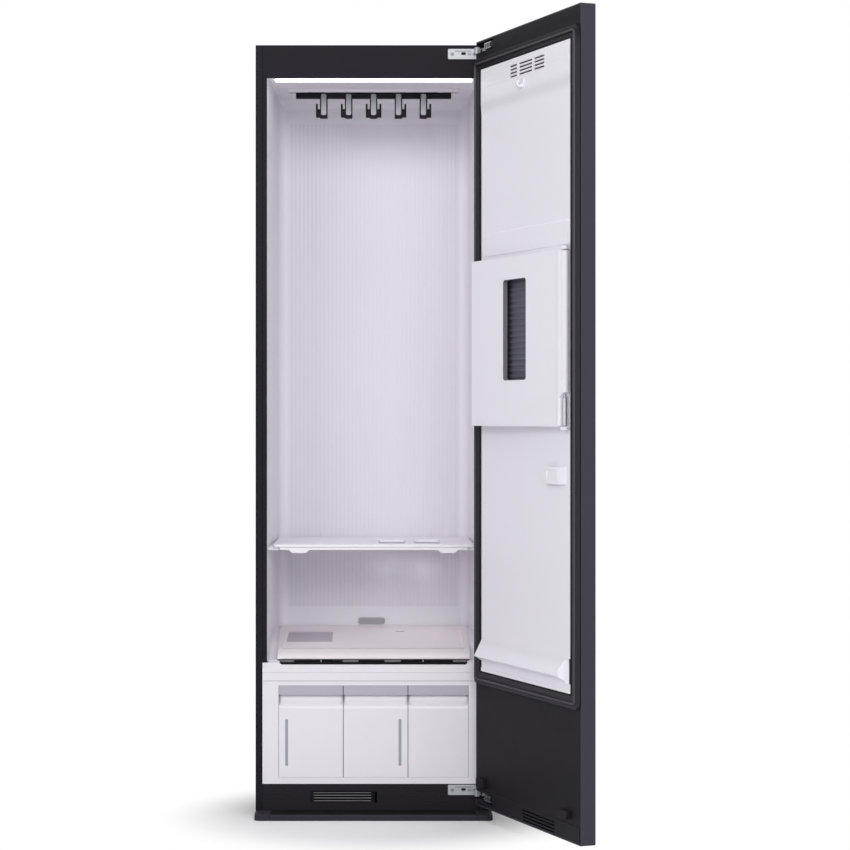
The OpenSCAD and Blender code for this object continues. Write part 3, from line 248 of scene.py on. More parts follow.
# Finishes: record slot, colour and edge colour in sRGB, roughness, gloss, grain scale and height, and drift
# of the colour
finishColumns = ("slot", "rgb", "edge", "rough", "gloss", "grain", "drift")
finishSet = {
    "coatBlack": ("black_steel", (29, 28, 34), (52, 51, 60), 0.46, 0.07, (900, 0.05), 0.10),
    "skinGraphite": ("dark_grey", (62, 60, 68), (84, 82, 92), 0.42, 0.1, (1100, 0.05), 0.06),
    "mouldBlack": ("black_plastic", (31, 29, 35), (50, 48, 56), 0.52, 0.07, (2200, 0.08), 0.10),
    # The door's black is mouldBlack again, kept apart to carry painted shade at the door's top
    "doorBlack": ("black_plastic", (31, 29, 35), (50, 48, 56), 0.52, 0.07, (2200, 0.08), 0.10),
    "grilleBlack": ("black_plastic", (13, 12, 16), (26, 25, 31), 0.5, 0.1, (2200, 0.08), 0.10),
    "plinthBlack": ("black_plastic", (36, 34, 40), (56, 54, 62), 0.52, 0.07, (2200, 0.08), 0.10),
    "baseGraphite": ("black_plastic", (50, 48, 55), (72, 70, 78), 0.5, 0.07, (1800, 0.08), 0.08),
    "frameGraphite": ("black_plastic", (48, 46, 53), (74, 72, 80), 0.46, 0.1, (1800, 0.08), 0.08),
    "sealGraphite": ("rubber", (64, 62, 70), (90, 88, 96), 0.42, 0.3, (3200, 0.10), 0.08),
    "linerWhite": ("white_plastic", (232, 229, 235), (246, 244, 249), 0.40, 0.35, (2600, 0.05), 0.02),
    "faceWhite": ("white_plastic", (226, 222, 229), (243, 241, 246), 0.32, 0.35, (3000, 0.03), 0.02),
    "doorWhite": ("white_plastic", (241, 239, 246), (248, 246, 251), 0.38, 0.35, (2600, 0.05), 0.02),
    # The door liner's white is doorWhite again, kept apart to carry a band of painted shade below the vents
    "bandWhite": ("white_plastic", (241, 239, 246), (248, 246, 251), 0.38, 0.35, (2600, 0.05), 0.02),
    # The press's white is doorWhite with less edge lightening, kept apart for painted shade and a painted
    # highlight on its barrel
    "pressWhite": ("white_plastic", (241, 239, 246), (242, 240, 245), 0.38, 0.35, (2600, 0.05), 0.02),
    # The tray's white is lighter than the liner's as painted light on the tray, and carries painted shade on
    # its lip
    "trayWhite": ("white_plastic", (244, 237, 242), (252, 248, 252), 0.42, 0.35, (2600, 0.05), 0.02),
    "pearlWall": ("back_wall", (224, 220, 227), (226, 222, 229), 0.36, 0.35, (2600, 0.03), 0.03),
    "smokeLid": ("lid", (176, 171, 181), (200, 198, 206), 0.24, 0.4, (3000, 0.02), 0.03),
    "levelStrip": ("strip", (144, 154, 167), (180, 190, 203), 0.16, 0.5, (2000, 0.01), 0.10),
    "trimGrey": ("grey_plastic", (166, 164, 168), (186, 184, 190), 0.45, 0.3, (2400, 0.06), 0.04),
    "intakeGrey": ("white_plastic", (190, 182, 190), (204, 197, 204), 0.42, 0.3, (2400, 0.05), 0.03),
    "slatGrey": ("grey_plastic", (118, 116, 122), (142, 140, 146), 0.46, 0.3, (2400, 0.06), 0.05),
    "ventBlack": ("grey_plastic", (70, 68, 74), (84, 82, 88), 0.6, 0.1, (2400, 0.06), 0.08),
    "sealRubber": ("rubber", (19, 18, 22), (34, 34, 40), 0.66, 0.1, (3200, 0.12), 0.12),
    "bedRubber": ("rubber", (96, 96, 108), (116, 116, 128), 0.7, 0.3, (3200, 0.12), 0.06),
    "meshThread": ("mesh", (150, 147, 152), (165, 162, 168), 0.6, 0.3, (4000, 0.10), 0.08),
    "castBlack": ("cast", (28, 28, 30), (60, 60, 64), 0.4, 0.3, (500, 0.10), 0.12),
    "machineGrey": ("grey_plastic", (96, 97, 103), (130, 130, 136), 0.45, 0.3, (1500, 0.06), 0.08),
}
# Painted light on some of them, as soft bands: direction, middle, width and amount, in metres
up, outAlongDoor = (0, 0, 1), (0.3584, -0.9336, 0)
paintedBandSet = {
    # painted shade darkening the top of the door's inner panel, of its frame and of its seal
    "doorBlack": ((up, 1.934, 0.02, 0.5),),
    "frameGraphite": ((up, 1.9, 0.022, 0.6),),
    "sealGraphite": ((up, 1.9, 0.012, 0.5),),
    # painted shade in a band below the door liner's vents
    "bandWhite": ((up, 1.789, 0.015, 0.12),),
    # press plate's barrel: painted shade in its crease, a painted highlight, then painted shade on its far
    # side
    "pressWhite": ((outAlongDoor, 0.6589, 0.004, 0.06), (outAlongDoor, 0.6745, 0.005, -0.1),
                   (outAlongDoor, 0.6859, 0.005, 0.22)),
    # painted shade across the front of the tray's lip
    "trayWhite": ((up, 0.413, 0.010, 0.24),),
}
coatSet = {"smokeLid": 0.35, "levelStrip": 0.6}  # weight of a clear coat
# Metals: record slot, colour in sRGB, roughness and stretch of the brush lines
metalColumns = ("slot", "rgb", "rough", "stretch")
metalSet = {
    "hingeSteel": ("steel", (178, 179, 184), 0.6, (2500.0, 60.0, 60.0)),
    "plateGrey": ("steel", (142, 141, 150), 0.6, (2500.0, 60.0, 60.0)),
    "bracketDark": ("steel", (72, 72, 78), 0.5, (2500.0, 60.0, 60.0)),
    "strapSilver": ("steel", (134, 134, 141), 0.46, (2500.0, 2500.0, 50.0)),
    "pinChrome": ("chrome", (214, 215, 219), 0.16, (50.0, 50.0, 2500.0)),
    "collarSatin": ("chrome", (188, 189, 194), 0.42, (50.0, 50.0, 2500.0)),
    "finAluminium": ("fins", (190, 192, 196), 0.38, (60.0, 60.0, 2500.0)),
}
lensSet = {"slot": "lens", "glow": (1.0, 0.985, 0.965, 1.0), "strength": 2.2, "drift": 0.05, "scale": 30.0,
           "rough": 0.35}


def newMaterial(name):
    material = bpy.data.materials.new(name)
    material.use_nodes = True
    return material, material.node_tree, material.node_tree.nodes["Principled BSDF"]


def makeFinish(name, row):
    values = dict(zip(finishColumns, row))
    material, tree, shader = newMaterial(name)
    drift = useGroup(tree, "drift", {"Color": linear(values["rgb"]), "Amount": values["drift"]})["Color"]
    # edge colour mixed in along edges: worn paint and in part a painted highlight
    rub = useGroup(tree, "rub", {"Strength": edgeWearSheenSet["strength"]})["Mask"]
    tone = mixColor(tree, rub, drift, linear(values["edge"]))
    # painted shade and painted highlights laid into the colour as bands
    for along, middle, width, amount in paintedBandSet.get(name, ()):
        tone = useGroup(tree, "band", {"Color": tone, "Along": along, "Middle": middle, "Width": width,
                                       "Amount": amount})["Color"]
    rough = useGroup(tree, "handling", {"Roughness": values["rough"], "Amount": handlingSet["amount"]})
    scale, strength = values["grain"]
    grain = useGroup(tree, "grain", {"Scale": float(scale)})["Height"]
    bump = shade(tree, "Bump", {"Height": grain, "Strength": strength, "Distance": grainSet["distance"]})
    fillInputs(tree, shader, {
        "Base Color": tone, "Roughness": rough["Roughness"], "Normal": bump[0],
        "Specular IOR Level": values["gloss"], "Coat Weight": coatSet.get(name, 0.0)})
    return material


def makeMetal(name, row):
    values = dict(zip(metalColumns, row))
    material, tree, shader = newMaterial(name)
    lines = useGroup(tree, "brush", {"Stretch": values["stretch"]})["Lines"]
    bright = linear(values["rgb"])
    dark = tuple(v * brushSet["dark"] for v in bright[:3]) + (1.0,)
    swing = brushSet["roughSwing"]
    bump = shade(tree, "Bump", {"Height": lines, "Strength": brushSet["strength"],
                                "Distance": brushSet["distance"]})
    fillInputs(tree, shader, {
        "Base Color": mixColor(tree, lines, dark, bright), "Metallic": 1.0, "Normal": bump[0],
        "Roughness": calc(tree, "MULTIPLY_ADD", lines, swing, values["rough"] - swing / 2)})
    return material


def makeLens(name):
    material, tree, shader = newMaterial(name)
    glow = useGroup(tree, "drift", {"Color": lensSet["glow"], "Amount": lensSet["drift"],
                                    "Scale": lensSet["scale"]})["Color"]
    fillInputs(tree, shader, {"Emission Color": glow, "Base Color": glow, "Roughness": lensSet["rough"],
                              "Emission Strength": lensSet["strength"]})
    return material


finish = {name: makeFinish(name, row) for name, row in finishSet.items()}
finish.update({name: makeMetal(name, row) for name, row in metalSet.items()})
finish["lensGlow"] = makeLens("lensGlow")
slotOf = {name: row[0] for name, row in (finishSet | metalSet).items()}
slotOf["lensGlow"] = lensSet["slot"]
print("finishes made:", len(finish))

bodyOf = {node: body for body, nodes in frame["record"]["behaviour"]["bodies"].items() for node in nodes}


# Small helpers for pieces

def newPiece(name, mesh):
    piece = bpy.data.objects.new(name, mesh)
    scene.collection.objects.link(piece)
    return piece


def plainMesh(piece):
    bpy.context.view_layer.update()
    graph = bpy.context.evaluated_depsgraph_get()
    mesh = bpy.data.meshes.new_from_object(piece.evaluated_get(graph), depsgraph=graph)
    piece.modifiers.clear()
    piece.data = mesh


def dress(piece, finishName, body, replaced=()):
    piece.data.materials.clear()
    piece.data.materials.append(finish[finishName])
    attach(piece, body)
    if replaced:
        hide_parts(*replaced)


def smoothFlats(piece, angle=35):
    mesh = piece.data
    mesh.polygons.foreach_set("use_smooth", [True] * len(mesh.polygons))
    mesh.set_sharp_from_angle(angle=math.radians(angle))
    flats = piece.modifiers.new("flats", "WEIGHTED_NORMAL")
    flats.mode = "FACE_AREA"
    flats.weight = 100
    flats.keep_sharp = True
    plainMesh(piece)


def fromBmesh(name, bm, place=None):
    if place is not None:
        bmesh.ops.transform(bm, matrix=place, verts=bm.verts)
        if place.determinant() < 0:
            bmesh.ops.reverse_faces(bm, faces=bm.faces)
    mesh = bpy.data.meshes.new(name)
    bm.to_mesh(mesh)
    bm.free()
    return newPiece(name, mesh)


def takeMesh(bm, piece):
    bm.from_mesh(piece.data)
    bpy.data.objects.remove(piece)


def buildPiece(name, body, finishName, bm, place=None, replaced=(), angle=35):
    piece = fromBmesh(name, bm, place)
    smoothFlats(piece, angle)
    dress(piece, finishName, body, replaced)


# Edges between faces that meet at more than an angle in degrees
def sharpEdges(bm, angle):
    limit = math.radians(angle)
    return [e for e in bm.edges if len(e.link_faces) == 2 and e.calc_face_angle(0.0) > limit]


def bevelEdges(bm, edges, width, segments):
    bmesh.ops.bevel(bm, geom=edges, offset=width * mm, offset_type="OFFSET", segments=segments, profile=0.5,
                    affect="EDGES", clamp_overlap=False, loop_slide=False)
    bm.normal_update()


roundSet = {"segments": 2, "wideSegments": 7, "near": 3e-4, "shares": (1.0, 0.7, 0.5, 0.35, 0.2, 0.1, 0.0),
            "merge": 2e-6, "flat": 0.2, "foldAngle": 140, "foldArea": 1e-10}


def roundEdges(bm, width, angle=40):
    bevelEdges(bm, sharpEdges(bm, angle), width, roundSet["segments"])


def mergeFlats(bm):
    bmesh.ops.remove_doubles(bm, verts=bm.verts, dist=roundSet["merge"])
    limit = math.radians(roundSet["flat"])
    bmesh.ops.dissolve_limit(bm, angle_limit=limit, verts=bm.verts, edges=bm.edges)


# Faces that the rounding has turned over
def countFolds(bm):
    steep = sharpEdges(bm, roundSet["foldAngle"])
    return sum(1 for e in steep if min(f.calc_area() for f in e.link_faces) > roundSet["foldArea"])


def cutAway(bm, cutters):
    piece = fromBmesh("blank", bm)
    for cutter in cutters:
        trim = piece.modifiers.new("trim", "BOOLEAN")
        trim.object = cutter
        trim.operation = "DIFFERENCE"
        trim.solver = "EXACT"
    plainMesh(piece)
    for cutter in cutters:
        bpy.data.objects.remove(cutter)
    bm = bmesh.new()
    takeMesh(bm, piece)
    mergeFlats(bm)
    return bm


# Long edges along X that are rounded wide: depth, height and width in millimetres
wideSet = {"floor_tray": (70.0, 421.0, 15.0)}


def widenEdge(bm, y, z, width):
    near = roundSet["near"]
    edges = [e for e in bm.edges
             if all(abs(v.co.y - y * mm) < near and abs(v.co.z - z * mm) < near for v in e.verts)]
    bevelEdges(bm, edges, width, roundSet["wideSegments"])


# Copy of a CAD node with rounded edges, as wide as they can be without folding
def softCopy(node, width, angle=28, cutters=()):
    blank = bmesh.new()
    blank.from_mesh(frame["nodes"][node].data)
    mergeFlats(blank)
    if cutters:
        blank = cutAway(blank, cutters)
    if node in wideSet:
        widenEdge(blank, *wideSet[node])
    for share in roundSet["shares"]:
        bm = blank.copy()
        if share > 0:
            roundEdges(bm, width * share, angle)
        if share == 0 or not countFolds(bm):
            break
        bm.free()
    blank.free()
    if share < 1:
        print("edges of", node, "rounded by", round(width * share, 2))
    return bm


def widen(pair, width):
    return pair[0] - width, pair[1] + width


def span(pair):
    return pair[1] - pair[0]


def roundedOutline(x, y, r, steps=6):
    points = []
    for cx, cy, start in ((x[1] - r, y[1] - r, 0), (x[0] + r, y[1] - r, 90), (x[0] + r, y[0] + r, 180),
                          (x[1] - r, y[0] + r, 270)):
        for i in range(steps + 1):
            a = math.radians(start + 90 * i / steps)
            points.append((cx + r * math.cos(a), cy + r * math.sin(a)))
    return points


# Points in the first two axes at a height on the third, in millimetres
def addLoop(bm, points, height):
    return [bm.verts.new((x * mm, y * mm, height * mm)) for x, y in points]


# Faces between two closed loops with the same number of points
def bridge(bm, lower, upper):
    count = len(lower)
    for i in range(count):
        j = (i + 1) % count
        bm.faces.new((lower[i], lower[j], upper[j], upper[i]))


def addExtruded(bm, outline, low, high):
    lower, upper = addLoop(bm, outline, low), addLoop(bm, outline, high)
    bm.faces.new(lower[::-1])
    bm.faces.new(upper)
    bridge(bm, lower, upper)


def addBoard(bm, x, y, r, low, high):
    addExtruded(bm, roundedOutline(x, y, r), low, high)


# Frame between two outlines with the same number of points, between two heights on the third axis
def addRing(bm, outer, inner, low, high):
    loops = [addLoop(bm, line, h) for line, h in ((outer, low), (outer, high), (inner, high), (inner, low))]
    for a in range(4):
        bridge(bm, loops[a], loops[(a + 1) % 4])


# Turned piece about an upright axis, from a list of radius and height
def addTurned(bm, profile, centre, steps):
    turns = [2 * math.pi * i / steps for i in range(steps)]
    rings = [addLoop(bm, [(centre[0] + r * math.cos(a), centre[1] + r * math.sin(a)) for a in turns], z)
             for r, z in profile]
    bm.faces.new(rings[0][::-1])
    bm.faces.new(rings[-1])
    for lower, upper in zip(rings, rings[1:]):
        bridge(bm, lower, upper)


# Profile of a peg whose ends are cut back by inR and inZ
def peg(r, low, high, inR, inZ):
    return [(r - inR, low), (r, low + inZ), (r, high - inZ), (r - inR, high)]


# Boards: each one x, y, corner, low and high in the frame it is placed by
def addBoards(name, body, finishName, boards, place=None, rounding=0.3):
    bm = bmesh.new()
    for board in boards:
        addBoard(bm, *board)
    roundEdges(bm, rounding)
    buildPiece(name, body, finishName, bm, place)


# Rings: each one an outer and an inner outline as x, y and corner, then low and high
def addRings(name, body, finishName, rings, place, rounding=0.0, replaced=()):
    bm = bmesh.new()
    for outer, inner, low, high in rings:
        addRing(bm, roundedOutline(*outer), roundedOutline(*inner), low, high)
    if rounding > 0:
        roundEdges(bm, rounding)
    buildPiece(name, body, finishName, bm, place, replaced)


# Turned pieces: each one a profile and a centre
def addTurns(name, body, finishName, turns, steps, place=None, replaced=()):
    bm = bmesh.new()
    for profile, centre in turns:
        addTurned(bm, profile, centre, steps)
    buildPiece(name, body, finishName, bm, place, replaced)


# Places: upright fronts, the open door and the press plate on it
doorSet = {"pin": (288.0, -41.5), "open": 111.0, "hingeEdge": 298.0, "gap": 14.0, "axis": (547.0, 17.5),
           "ajar": 2.0}
upright = Matrix(((1, 0, 0, 0), (0, 0, 1, 0), (0, 1, 0, 0), (0, 0, 0, 1)))  # x, z, depth to x, y, z
sideways = Matrix(((0, 0, 1, 0), (1, 0, 0, 0), (0, 1, 0, 0), (0, 0, 0, 1)))  # depth, z, x to x, y, z


def shift(x, y, z=0.0):
    return Matrix.Translation((x * mm, y * mm, z * mm))


def turnAbout(x, y, degrees):
    return shift(x, y) @ Matrix.Rotation(math.radians(degrees), 4, "Z") @ shift(-x, -y)


# From u along the door, h out of its inner face and z up, and the same in the order u, z, h
onDoor = (turnAbout(*doorSet["pin"], doorSet["open"]) @ shift(doorSet["hingeEdge"], -doorSet["gap"])
          @ Matrix.Diagonal((-1, 1, 1, 1)))
onPress = onDoor @ turnAbout(*doorSet["axis"], -doorSet["ajar"])
doorFace, pressFace = onDoor @ upright, onPress @ upright
print("helpers ready")


# Cutters for pieces that get recesses
def boardCutter(place, *board):
    bm = bmesh.new()
    addBoard(bm, *board)
    return fromBmesh("cutter", bm, place)


# Slots that part each hinge arm into stacked links
hingeSet = {"foot": (261.0, -1.5), "run": (7.0, 36.0), "across": (-6.0, 6.0), "corner": 0.5, "slot": 1.0,
            "shares": (1 / 3, 2 / 3)}
armSet = {"upper_hinge_arm": (1936.0, 1947.0), "lower_hinge_arm": (57.0, 68.0)}
footX, footY = hingeSet["foot"]
reachX, reachY = (b - a for a, b in zip(hingeSet["foot"], doorSet["pin"]))
alongArm = shift(footX, footY) @ Matrix.Rotation(math.atan2(reachY, reachX), 4, "Z")


def linkCutters(node):
    low, high = armSet[node]
    half = hingeSet["slot"] / 2
    middles = [low + (high - low) * share for share in hingeSet["shares"]]
    return [boardCutter(alongArm, hingeSet["run"], hingeSet["across"], hingeSet["corner"], z - half, z + half)
            for z in middles]


# Press bed and press pad: sizes on the door and on the plate
bedSet = {"u": (96.0, 511.0), "z": (1019.0, 1374.0), "corner": 8.0, "floor": 9.8, "top": 14.5, "ribs": 25,
          "ribStep": 14.0, "ribWidth": 6.0, "ribHeight": 2.6, "ribCorner": 0.8, "ribInset": 5.0, "sheet": 0.6,
          "sheetInset": 0.3}
padSet = {"u": (90.0, 516.0), "z": (1013.0, 1380.0), "corner": 10.0, "low": 13.6, "high": 15.5, "below": 2.0,
          "inset": 0.4, "hole": ((241.5, 375.5), (1097.0, 1351.0), 12.0)}

# Finger grip under each container's lid: a slope in front of which the side walls are cut away
gripSet = {"slope": ((14.0, 307.8), (13.0, 300.0), (10.6, 293.3), (7.4, 287.2), (3.4, 283.0)),
           "behind": ((15.0, 283.0), (27.8, 287.5), (27.8, 307.8)),
           "lip": ((3.2, 282.5), (1.4, 278.3), (0.2, 274.2), (-1.0, 272.5), (-1.0, 309.0), (14.0, 309.0)),
           "outside": 0.5, "inside": 5.4, "inset": 1.7}
containerSet = {"supply_tank": (-241.5, -77.0), "drain_tank": (-77.0, 87.5), "aroma_case": (87.5, 241.5)}


def gripBlock(edge, low, high):
    bm = bmesh.new()
    addExtruded(bm, gripSet["slope"] + gripSet[edge], low, high)
    bmesh.ops.recalc_face_normals(bm, faces=bm.faces)
    return bm


def gripCutters(body):
    low, high = containerSet[body]
    outside, inside = gripSet["outside"], gripSet["inside"]
    return [fromBmesh("cutter", gripBlock("lip", *ends), sideways)
            for ends in ((low - outside, low + inside), (high - inside, high + outside))]


cutterSet = {body + "_body": gripCutters(body) for body in containerSet}
cutterSet.update({node: linkCutters(node) for node in armSet})
cutterSet["press_base"] = [boardCutter(
    doorFace, bedSet["u"], bedSet["z"], bedSet["corner"], bedSet["floor"], bedSet["top"])]
cutterSet["press_plate"] = [boardCutter(
    pressFace, padSet["u"], padSet["z"], padSet["corner"], padSet["low"] - padSet["below"], padSet["high"])]

# CAD shapes that are right keep their form and get rounded edges: finish, edge radius in millimetres and the
# least angle of an edge that is rounded
softSet = {
    "base_plate": ("baseGraphite", 0.8), "base_end_caps": ("baseGraphite", 1.2),
    "left_side_panel": ("coatBlack", 0.4), "right_side_panel": ("coatBlack", 0.4),
    "top_panel": ("coatBlack", 0.4), "rear_panel": ("coatBlack", 0.3), "header_fascia": ("mouldBlack", 0.8),
    "breaker_strips": ("mouldBlack", 0.8), "inner_liner": ("linerWhite", 0.5),
    "light_lens": ("lensGlow", 0.4),
    "shelf": ("linerWhite", 1.2), "shelf_ledges": ("linerWhite", 0.9), "floor_tray": ("trayWhite", 0.5, 15),
    "intake_grille": ("intakeGrey", 0.4), "filter_deck": ("sealRubber", 0.3),
    "lower_fascia": ("faceWhite", 0.25), "container_bay": ("slatGrey", 0.3), "plinth": ("plinthBlack", 0.2),
    "hanger_guide_rail": ("pearlWall", 0.3), "hanger_bar": ("mouldBlack", 0.6),
    "hanger_arms": ("mouldBlack", 0.8), "hanger_arm_plates": ("strapSilver", 0.5),
    "supply_tank_body": ("faceWhite", 0.7), "supply_tank_lid": ("smokeLid", 0.7),
    "supply_tank_window": ("levelStrip", 0.3), "drain_tank_body": ("faceWhite", 0.7),
    "drain_tank_lid": ("smokeLid", 0.7), "drain_tank_window": ("levelStrip", 0.3),
    "aroma_case_body": ("faceWhite", 0.7), "aroma_case_lid": ("smokeLid", 0.7),
    "lint_filter_frame": ("sealRubber", 0.5), "door_outer_panel": ("skinGraphite", 0.8),
    "door_inner_panel": ("doorBlack", 0.3), "door_inner_frame": ("frameGraphite", 0.7),
    "door_liner": ("bandWhite", 0.22), "door_buffers": ("mouldBlack", 1.5),
    "garment_hook": ("linerWhite", 0.5), "hem_clamp": ("doorWhite", 0.5), "trouser_clip": ("doorWhite", 0.8),
    "door_hinge_brackets": ("bracketDark", 0.3), "door_hinge_pins": ("pinChrome", 0.4),
    "press_plate": ("pressWhite", 1.2), "press_base": ("pressWhite", 0.6),
    "upper_hinge_arm": ("hingeSteel", 0.3), "lower_hinge_arm": ("hingeSteel", 0.3),
    "cord_gland": ("mouldBlack", 0.5), "vent_cover": ("trimGrey", 0.8),
}
for node, (finishName, *rounding) in softSet.items():
    bm = softCopy(node, *rounding, cutters=cutterSet.get(node, ()))
    buildPiece("soft_" + node, bodyOf[node], finishName, bm, replaced=[node])
print("soft copies made:", len(softSet))

# Pieces inside the machine room keep the CAD shape
machineSet = {"compressor": "castBlack", "heat_exchanger": "finAluminium", "blower_housing": "mouldBlack",
              "fan_motor": "machineGrey", "fan_wheel": "mouldBlack", "steam_generator": "machineGrey",
              "hanger_motor": "machineGrey"}
for node, finishName in machineSet.items():
    piece = frame["nodes"][node]
    for materialSlot in piece.material_slots:
        materialSlot.material = finish[finishName]


# Geometry Nodes: every tree ends in Realize Instances and Set Material

def newShape(name, inputs):
    return newTree(name, "GeometryNodeTree", {"Geometry": None, **inputs, "Finish": None}, {"Geometry": None})


def endShape(tree, given, result, shape):
    real = form(tree, "RealizeInstances", {"Geometry": shape})[0]
    painted = form(tree, "SetMaterial", {"Geometry": real, "Material": given["Finish"]})[0]
    tree.links.new(painted, result["Geometry"])
    return tree


# Lengths are in millimetres, the other values as the tree takes them
def runTree(tree, name, finishName, values, lengths=None, mesh=None):
    given = {"Finish": finish[finishName], **values}
    for label, size in (lengths or {}).items():
        given[label] = [v * mm for v in size] if isinstance(size, tuple) else size * mm
    piece = newPiece(name, mesh or bpy.data.meshes.new(name))
    grown = piece.modifiers.new("grown", "NODES")
    grown.node_group = tree
    for item in tree.interface.items_tree:
        if item.in_out == "INPUT" and item.name in given:
            grown[item.identifier] = given[item.name]
    plainMesh(piece)
    return piece


def position(tree):
    return split(tree, form(tree, "InputPosition")[0])


# Rounded block, as a closed curve
def roundedBlock(tree, width, height, corner, steps):
    block = form(tree, "CurvePrimitiveQuadrilateral", {"Width": width, "Height": height})[0]
    return form(tree, "FilletCurve", {"Curve": block, "Count": steps, "Radius": corner}, mode="POLY")[0]


# Fluted back wall
fluteSet = {"flutes": 42, "pitch": 11.0, "depth": 0.45, "steps": 12, "z": (499.0, 1812.0), "front": 413.9,
            "back": 415.0, "merge": 0.00001}


def makeFluteTree():
    tree, given, result = newShape("flutedWall", {
        "Flutes": 42, "Pitch": 0.011, "Depth": 0.0005, "Steps": 12, "Height": 1.0, "Front": 0.0, "Back": 0.0,
        "Middle": 0.0})
    width = calc(tree, "MULTIPLY", given["Flutes"], given["Pitch"])
    across = calc(tree, "MULTIPLY_ADD", given["Flutes"], given["Steps"], 1.0)
    grid = form(tree, "MeshGrid", {"Size X": width, "Size Y": given["Height"], "Vertices X": across,
                                   "Vertices Y": 2})[0]
    x, y, z = position(tree)
    turns = calc(tree, "MULTIPLY", calc(tree, "DIVIDE", x, given["Pitch"]), 2 * math.pi)
    wave = calc(tree, "MULTIPLY_ADD", calc(tree, "COSINE", turns), -0.5, 0.5)
    depth = calc(tree, "MULTIPLY_ADD", wave, given["Depth"], given["Front"])
    fluted = combine(tree, x, depth, calc(tree, "ADD", y, given["Middle"]))
    face = form(tree, "SetPosition", {"Geometry": grid, "Position": fluted})[0]
    walls = form(tree, "ExtrudeMesh", {"Mesh": face, "Offset Scale": mm, "Individual": False})
    x, y, z = position(tree)
    backed = form(tree, "SetPosition", {"Geometry": walls["Mesh"], "Selection": walls["Top"],
                                        "Position": combine(tree, x, given["Back"], z)})[0]
    turned = form(tree, "FlipFaces", {0: backed})[0]
    both = form(tree, "JoinGeometry", {0: [face, turned]})[0]
    closed = form(tree, "MergeByDistance", {"Geometry": both, "Distance": fluteSet["merge"]})[0]
    return endShape(tree, given, result, closed)


flutedWall = runTree(makeFluteTree(), "flutedWall", "pearlWall", {
    "Flutes": fluteSet["flutes"], "Steps": fluteSet["steps"]}, {
    "Pitch": fluteSet["pitch"], "Depth": fluteSet["depth"], "Height": span(fluteSet["z"]),
    "Front": fluteSet["front"], "Back": fluteSet["back"], "Middle": sum(fluteSet["z"]) / 2})
smoothFlats(flutedWall, angle=40)
dress(flutedWall, "pearlWall", "cabinet", ["ribbed_back_panel"])
print("fluted wall grown")

# Lint screen of crossed threads
screenSet = {"pitch": 4.0, "thread": 0.35, "sides": 6}


def makeScreenTree():
    tree, given, result = newShape("lintScreen", {
        "Low": (0, 0, 0), "Size": (1, 1, 0), "Pitch": 0.004, "Thread": 0.0004})
    size = split(tree, given["Size"])
    layers = []
    for along, across, turn in ((0, 1, (0.0, math.pi / 2, 0.0)), (1, 0, (math.pi / 2, 0.0, 0.0))):
        count = calc(tree, "FLOOR", calc(tree, "DIVIDE", size[across], given["Pitch"]))
        step = [0.0, 0.0, 0.0]
        step[across] = calc(tree, "DIVIDE", size[across], count)
        half = [0.0, 0.0, given["Thread"] if along else calc(tree, "MULTIPLY", given["Thread"], -1.0)]
        half[along] = calc(tree, "MULTIPLY", size[along], 0.5)
        half[across] = calc(tree, "MULTIPLY", step[across], 0.5)
        start = vectorCalc(tree, "ADD", given["Low"], combine(tree, *half))[0]
        points = form(tree, "MeshLine", {"Count": count, "Start Location": start,
                                         "Offset": combine(tree, *step)})[0]
        thread = form(tree, "MeshCylinder", {"Vertices": screenSet["sides"], "Radius": given["Thread"],
                                             "Depth": size[along]})[0]
        layers.append(form(tree, "InstanceOnPoints", {"Points": points, "Instance": thread,
                                                      "Rotation": turn})[0])
    return endShape(tree, given, result, form(tree, "JoinGeometry", {0: layers})[0])


screenLow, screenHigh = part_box("lint_filter_mesh")
screenMiddle = (screenLow.z + screenHigh.z) / 2
lintScreen = runTree(makeScreenTree(), "lintScreen", "meshThread", {
    "Low": (screenLow.x, screenLow.y, screenMiddle),
    "Size": (screenHigh.x - screenLow.x, screenHigh.y - screenLow.y, 0.0)}, {
    "Pitch": screenSet["pitch"], "Thread": screenSet["thread"]})
dress(lintScreen, "meshThread", "lint_filter", ["lint_filter_mesh"])
print("lint screen grown")

# Door seal: a waisted bulb swept round the door's frame
sealSet = {"u": (13.25, 583.75), "z": (355.25, 1903.75), "corner": 10.0, "width": 6.4, "h": (5.1, 12.9),
           "waist": 0.3, "waistPlace": 0.25, "waistSharp": 14.0, "sides": 20, "cornerSteps": 6}


def makeSealTree():
    tree, given, result = newShape("doorSeal", {
        "Width": 1.0, "Height": 1.0, "Corner": 0.01, "Bulb": 0.003, "Rise": 0.004, "Waist": 0.3})
    path = roundedBlock(tree, given["Width"], given["Height"], given["Corner"], sealSet["cornerSteps"])
    ring = form(tree, "CurvePrimitiveCircle", {"Resolution": sealSet["sides"], "Radius": 1.0})[0]
    x, y, z = position(tree)
    off = calc(tree, "POWER", calc(tree, "ABSOLUTE", calc(tree, "ADD", y, sealSet["waistPlace"])), 2.0)
    pinch = calc(tree, "EXPONENT", calc(tree, "MULTIPLY", off, -sealSet["waistSharp"]))
    share = calc(tree, "SUBTRACT", 1.0, calc(tree, "MULTIPLY", pinch, given["Waist"]))
    across = calc(tree, "MULTIPLY", calc(tree, "MULTIPLY", x, share), given["Bulb"])
    formed = combine(tree, across, calc(tree, "MULTIPLY", y, given["Rise"]))
    profile = form(tree, "SetPosition", {"Geometry": ring, "Position": formed})[0]
    swept = form(tree, "CurveToMesh", {"Curve": path, "Profile Curve": profile})[0]
    return endShape(tree, given, result, swept)


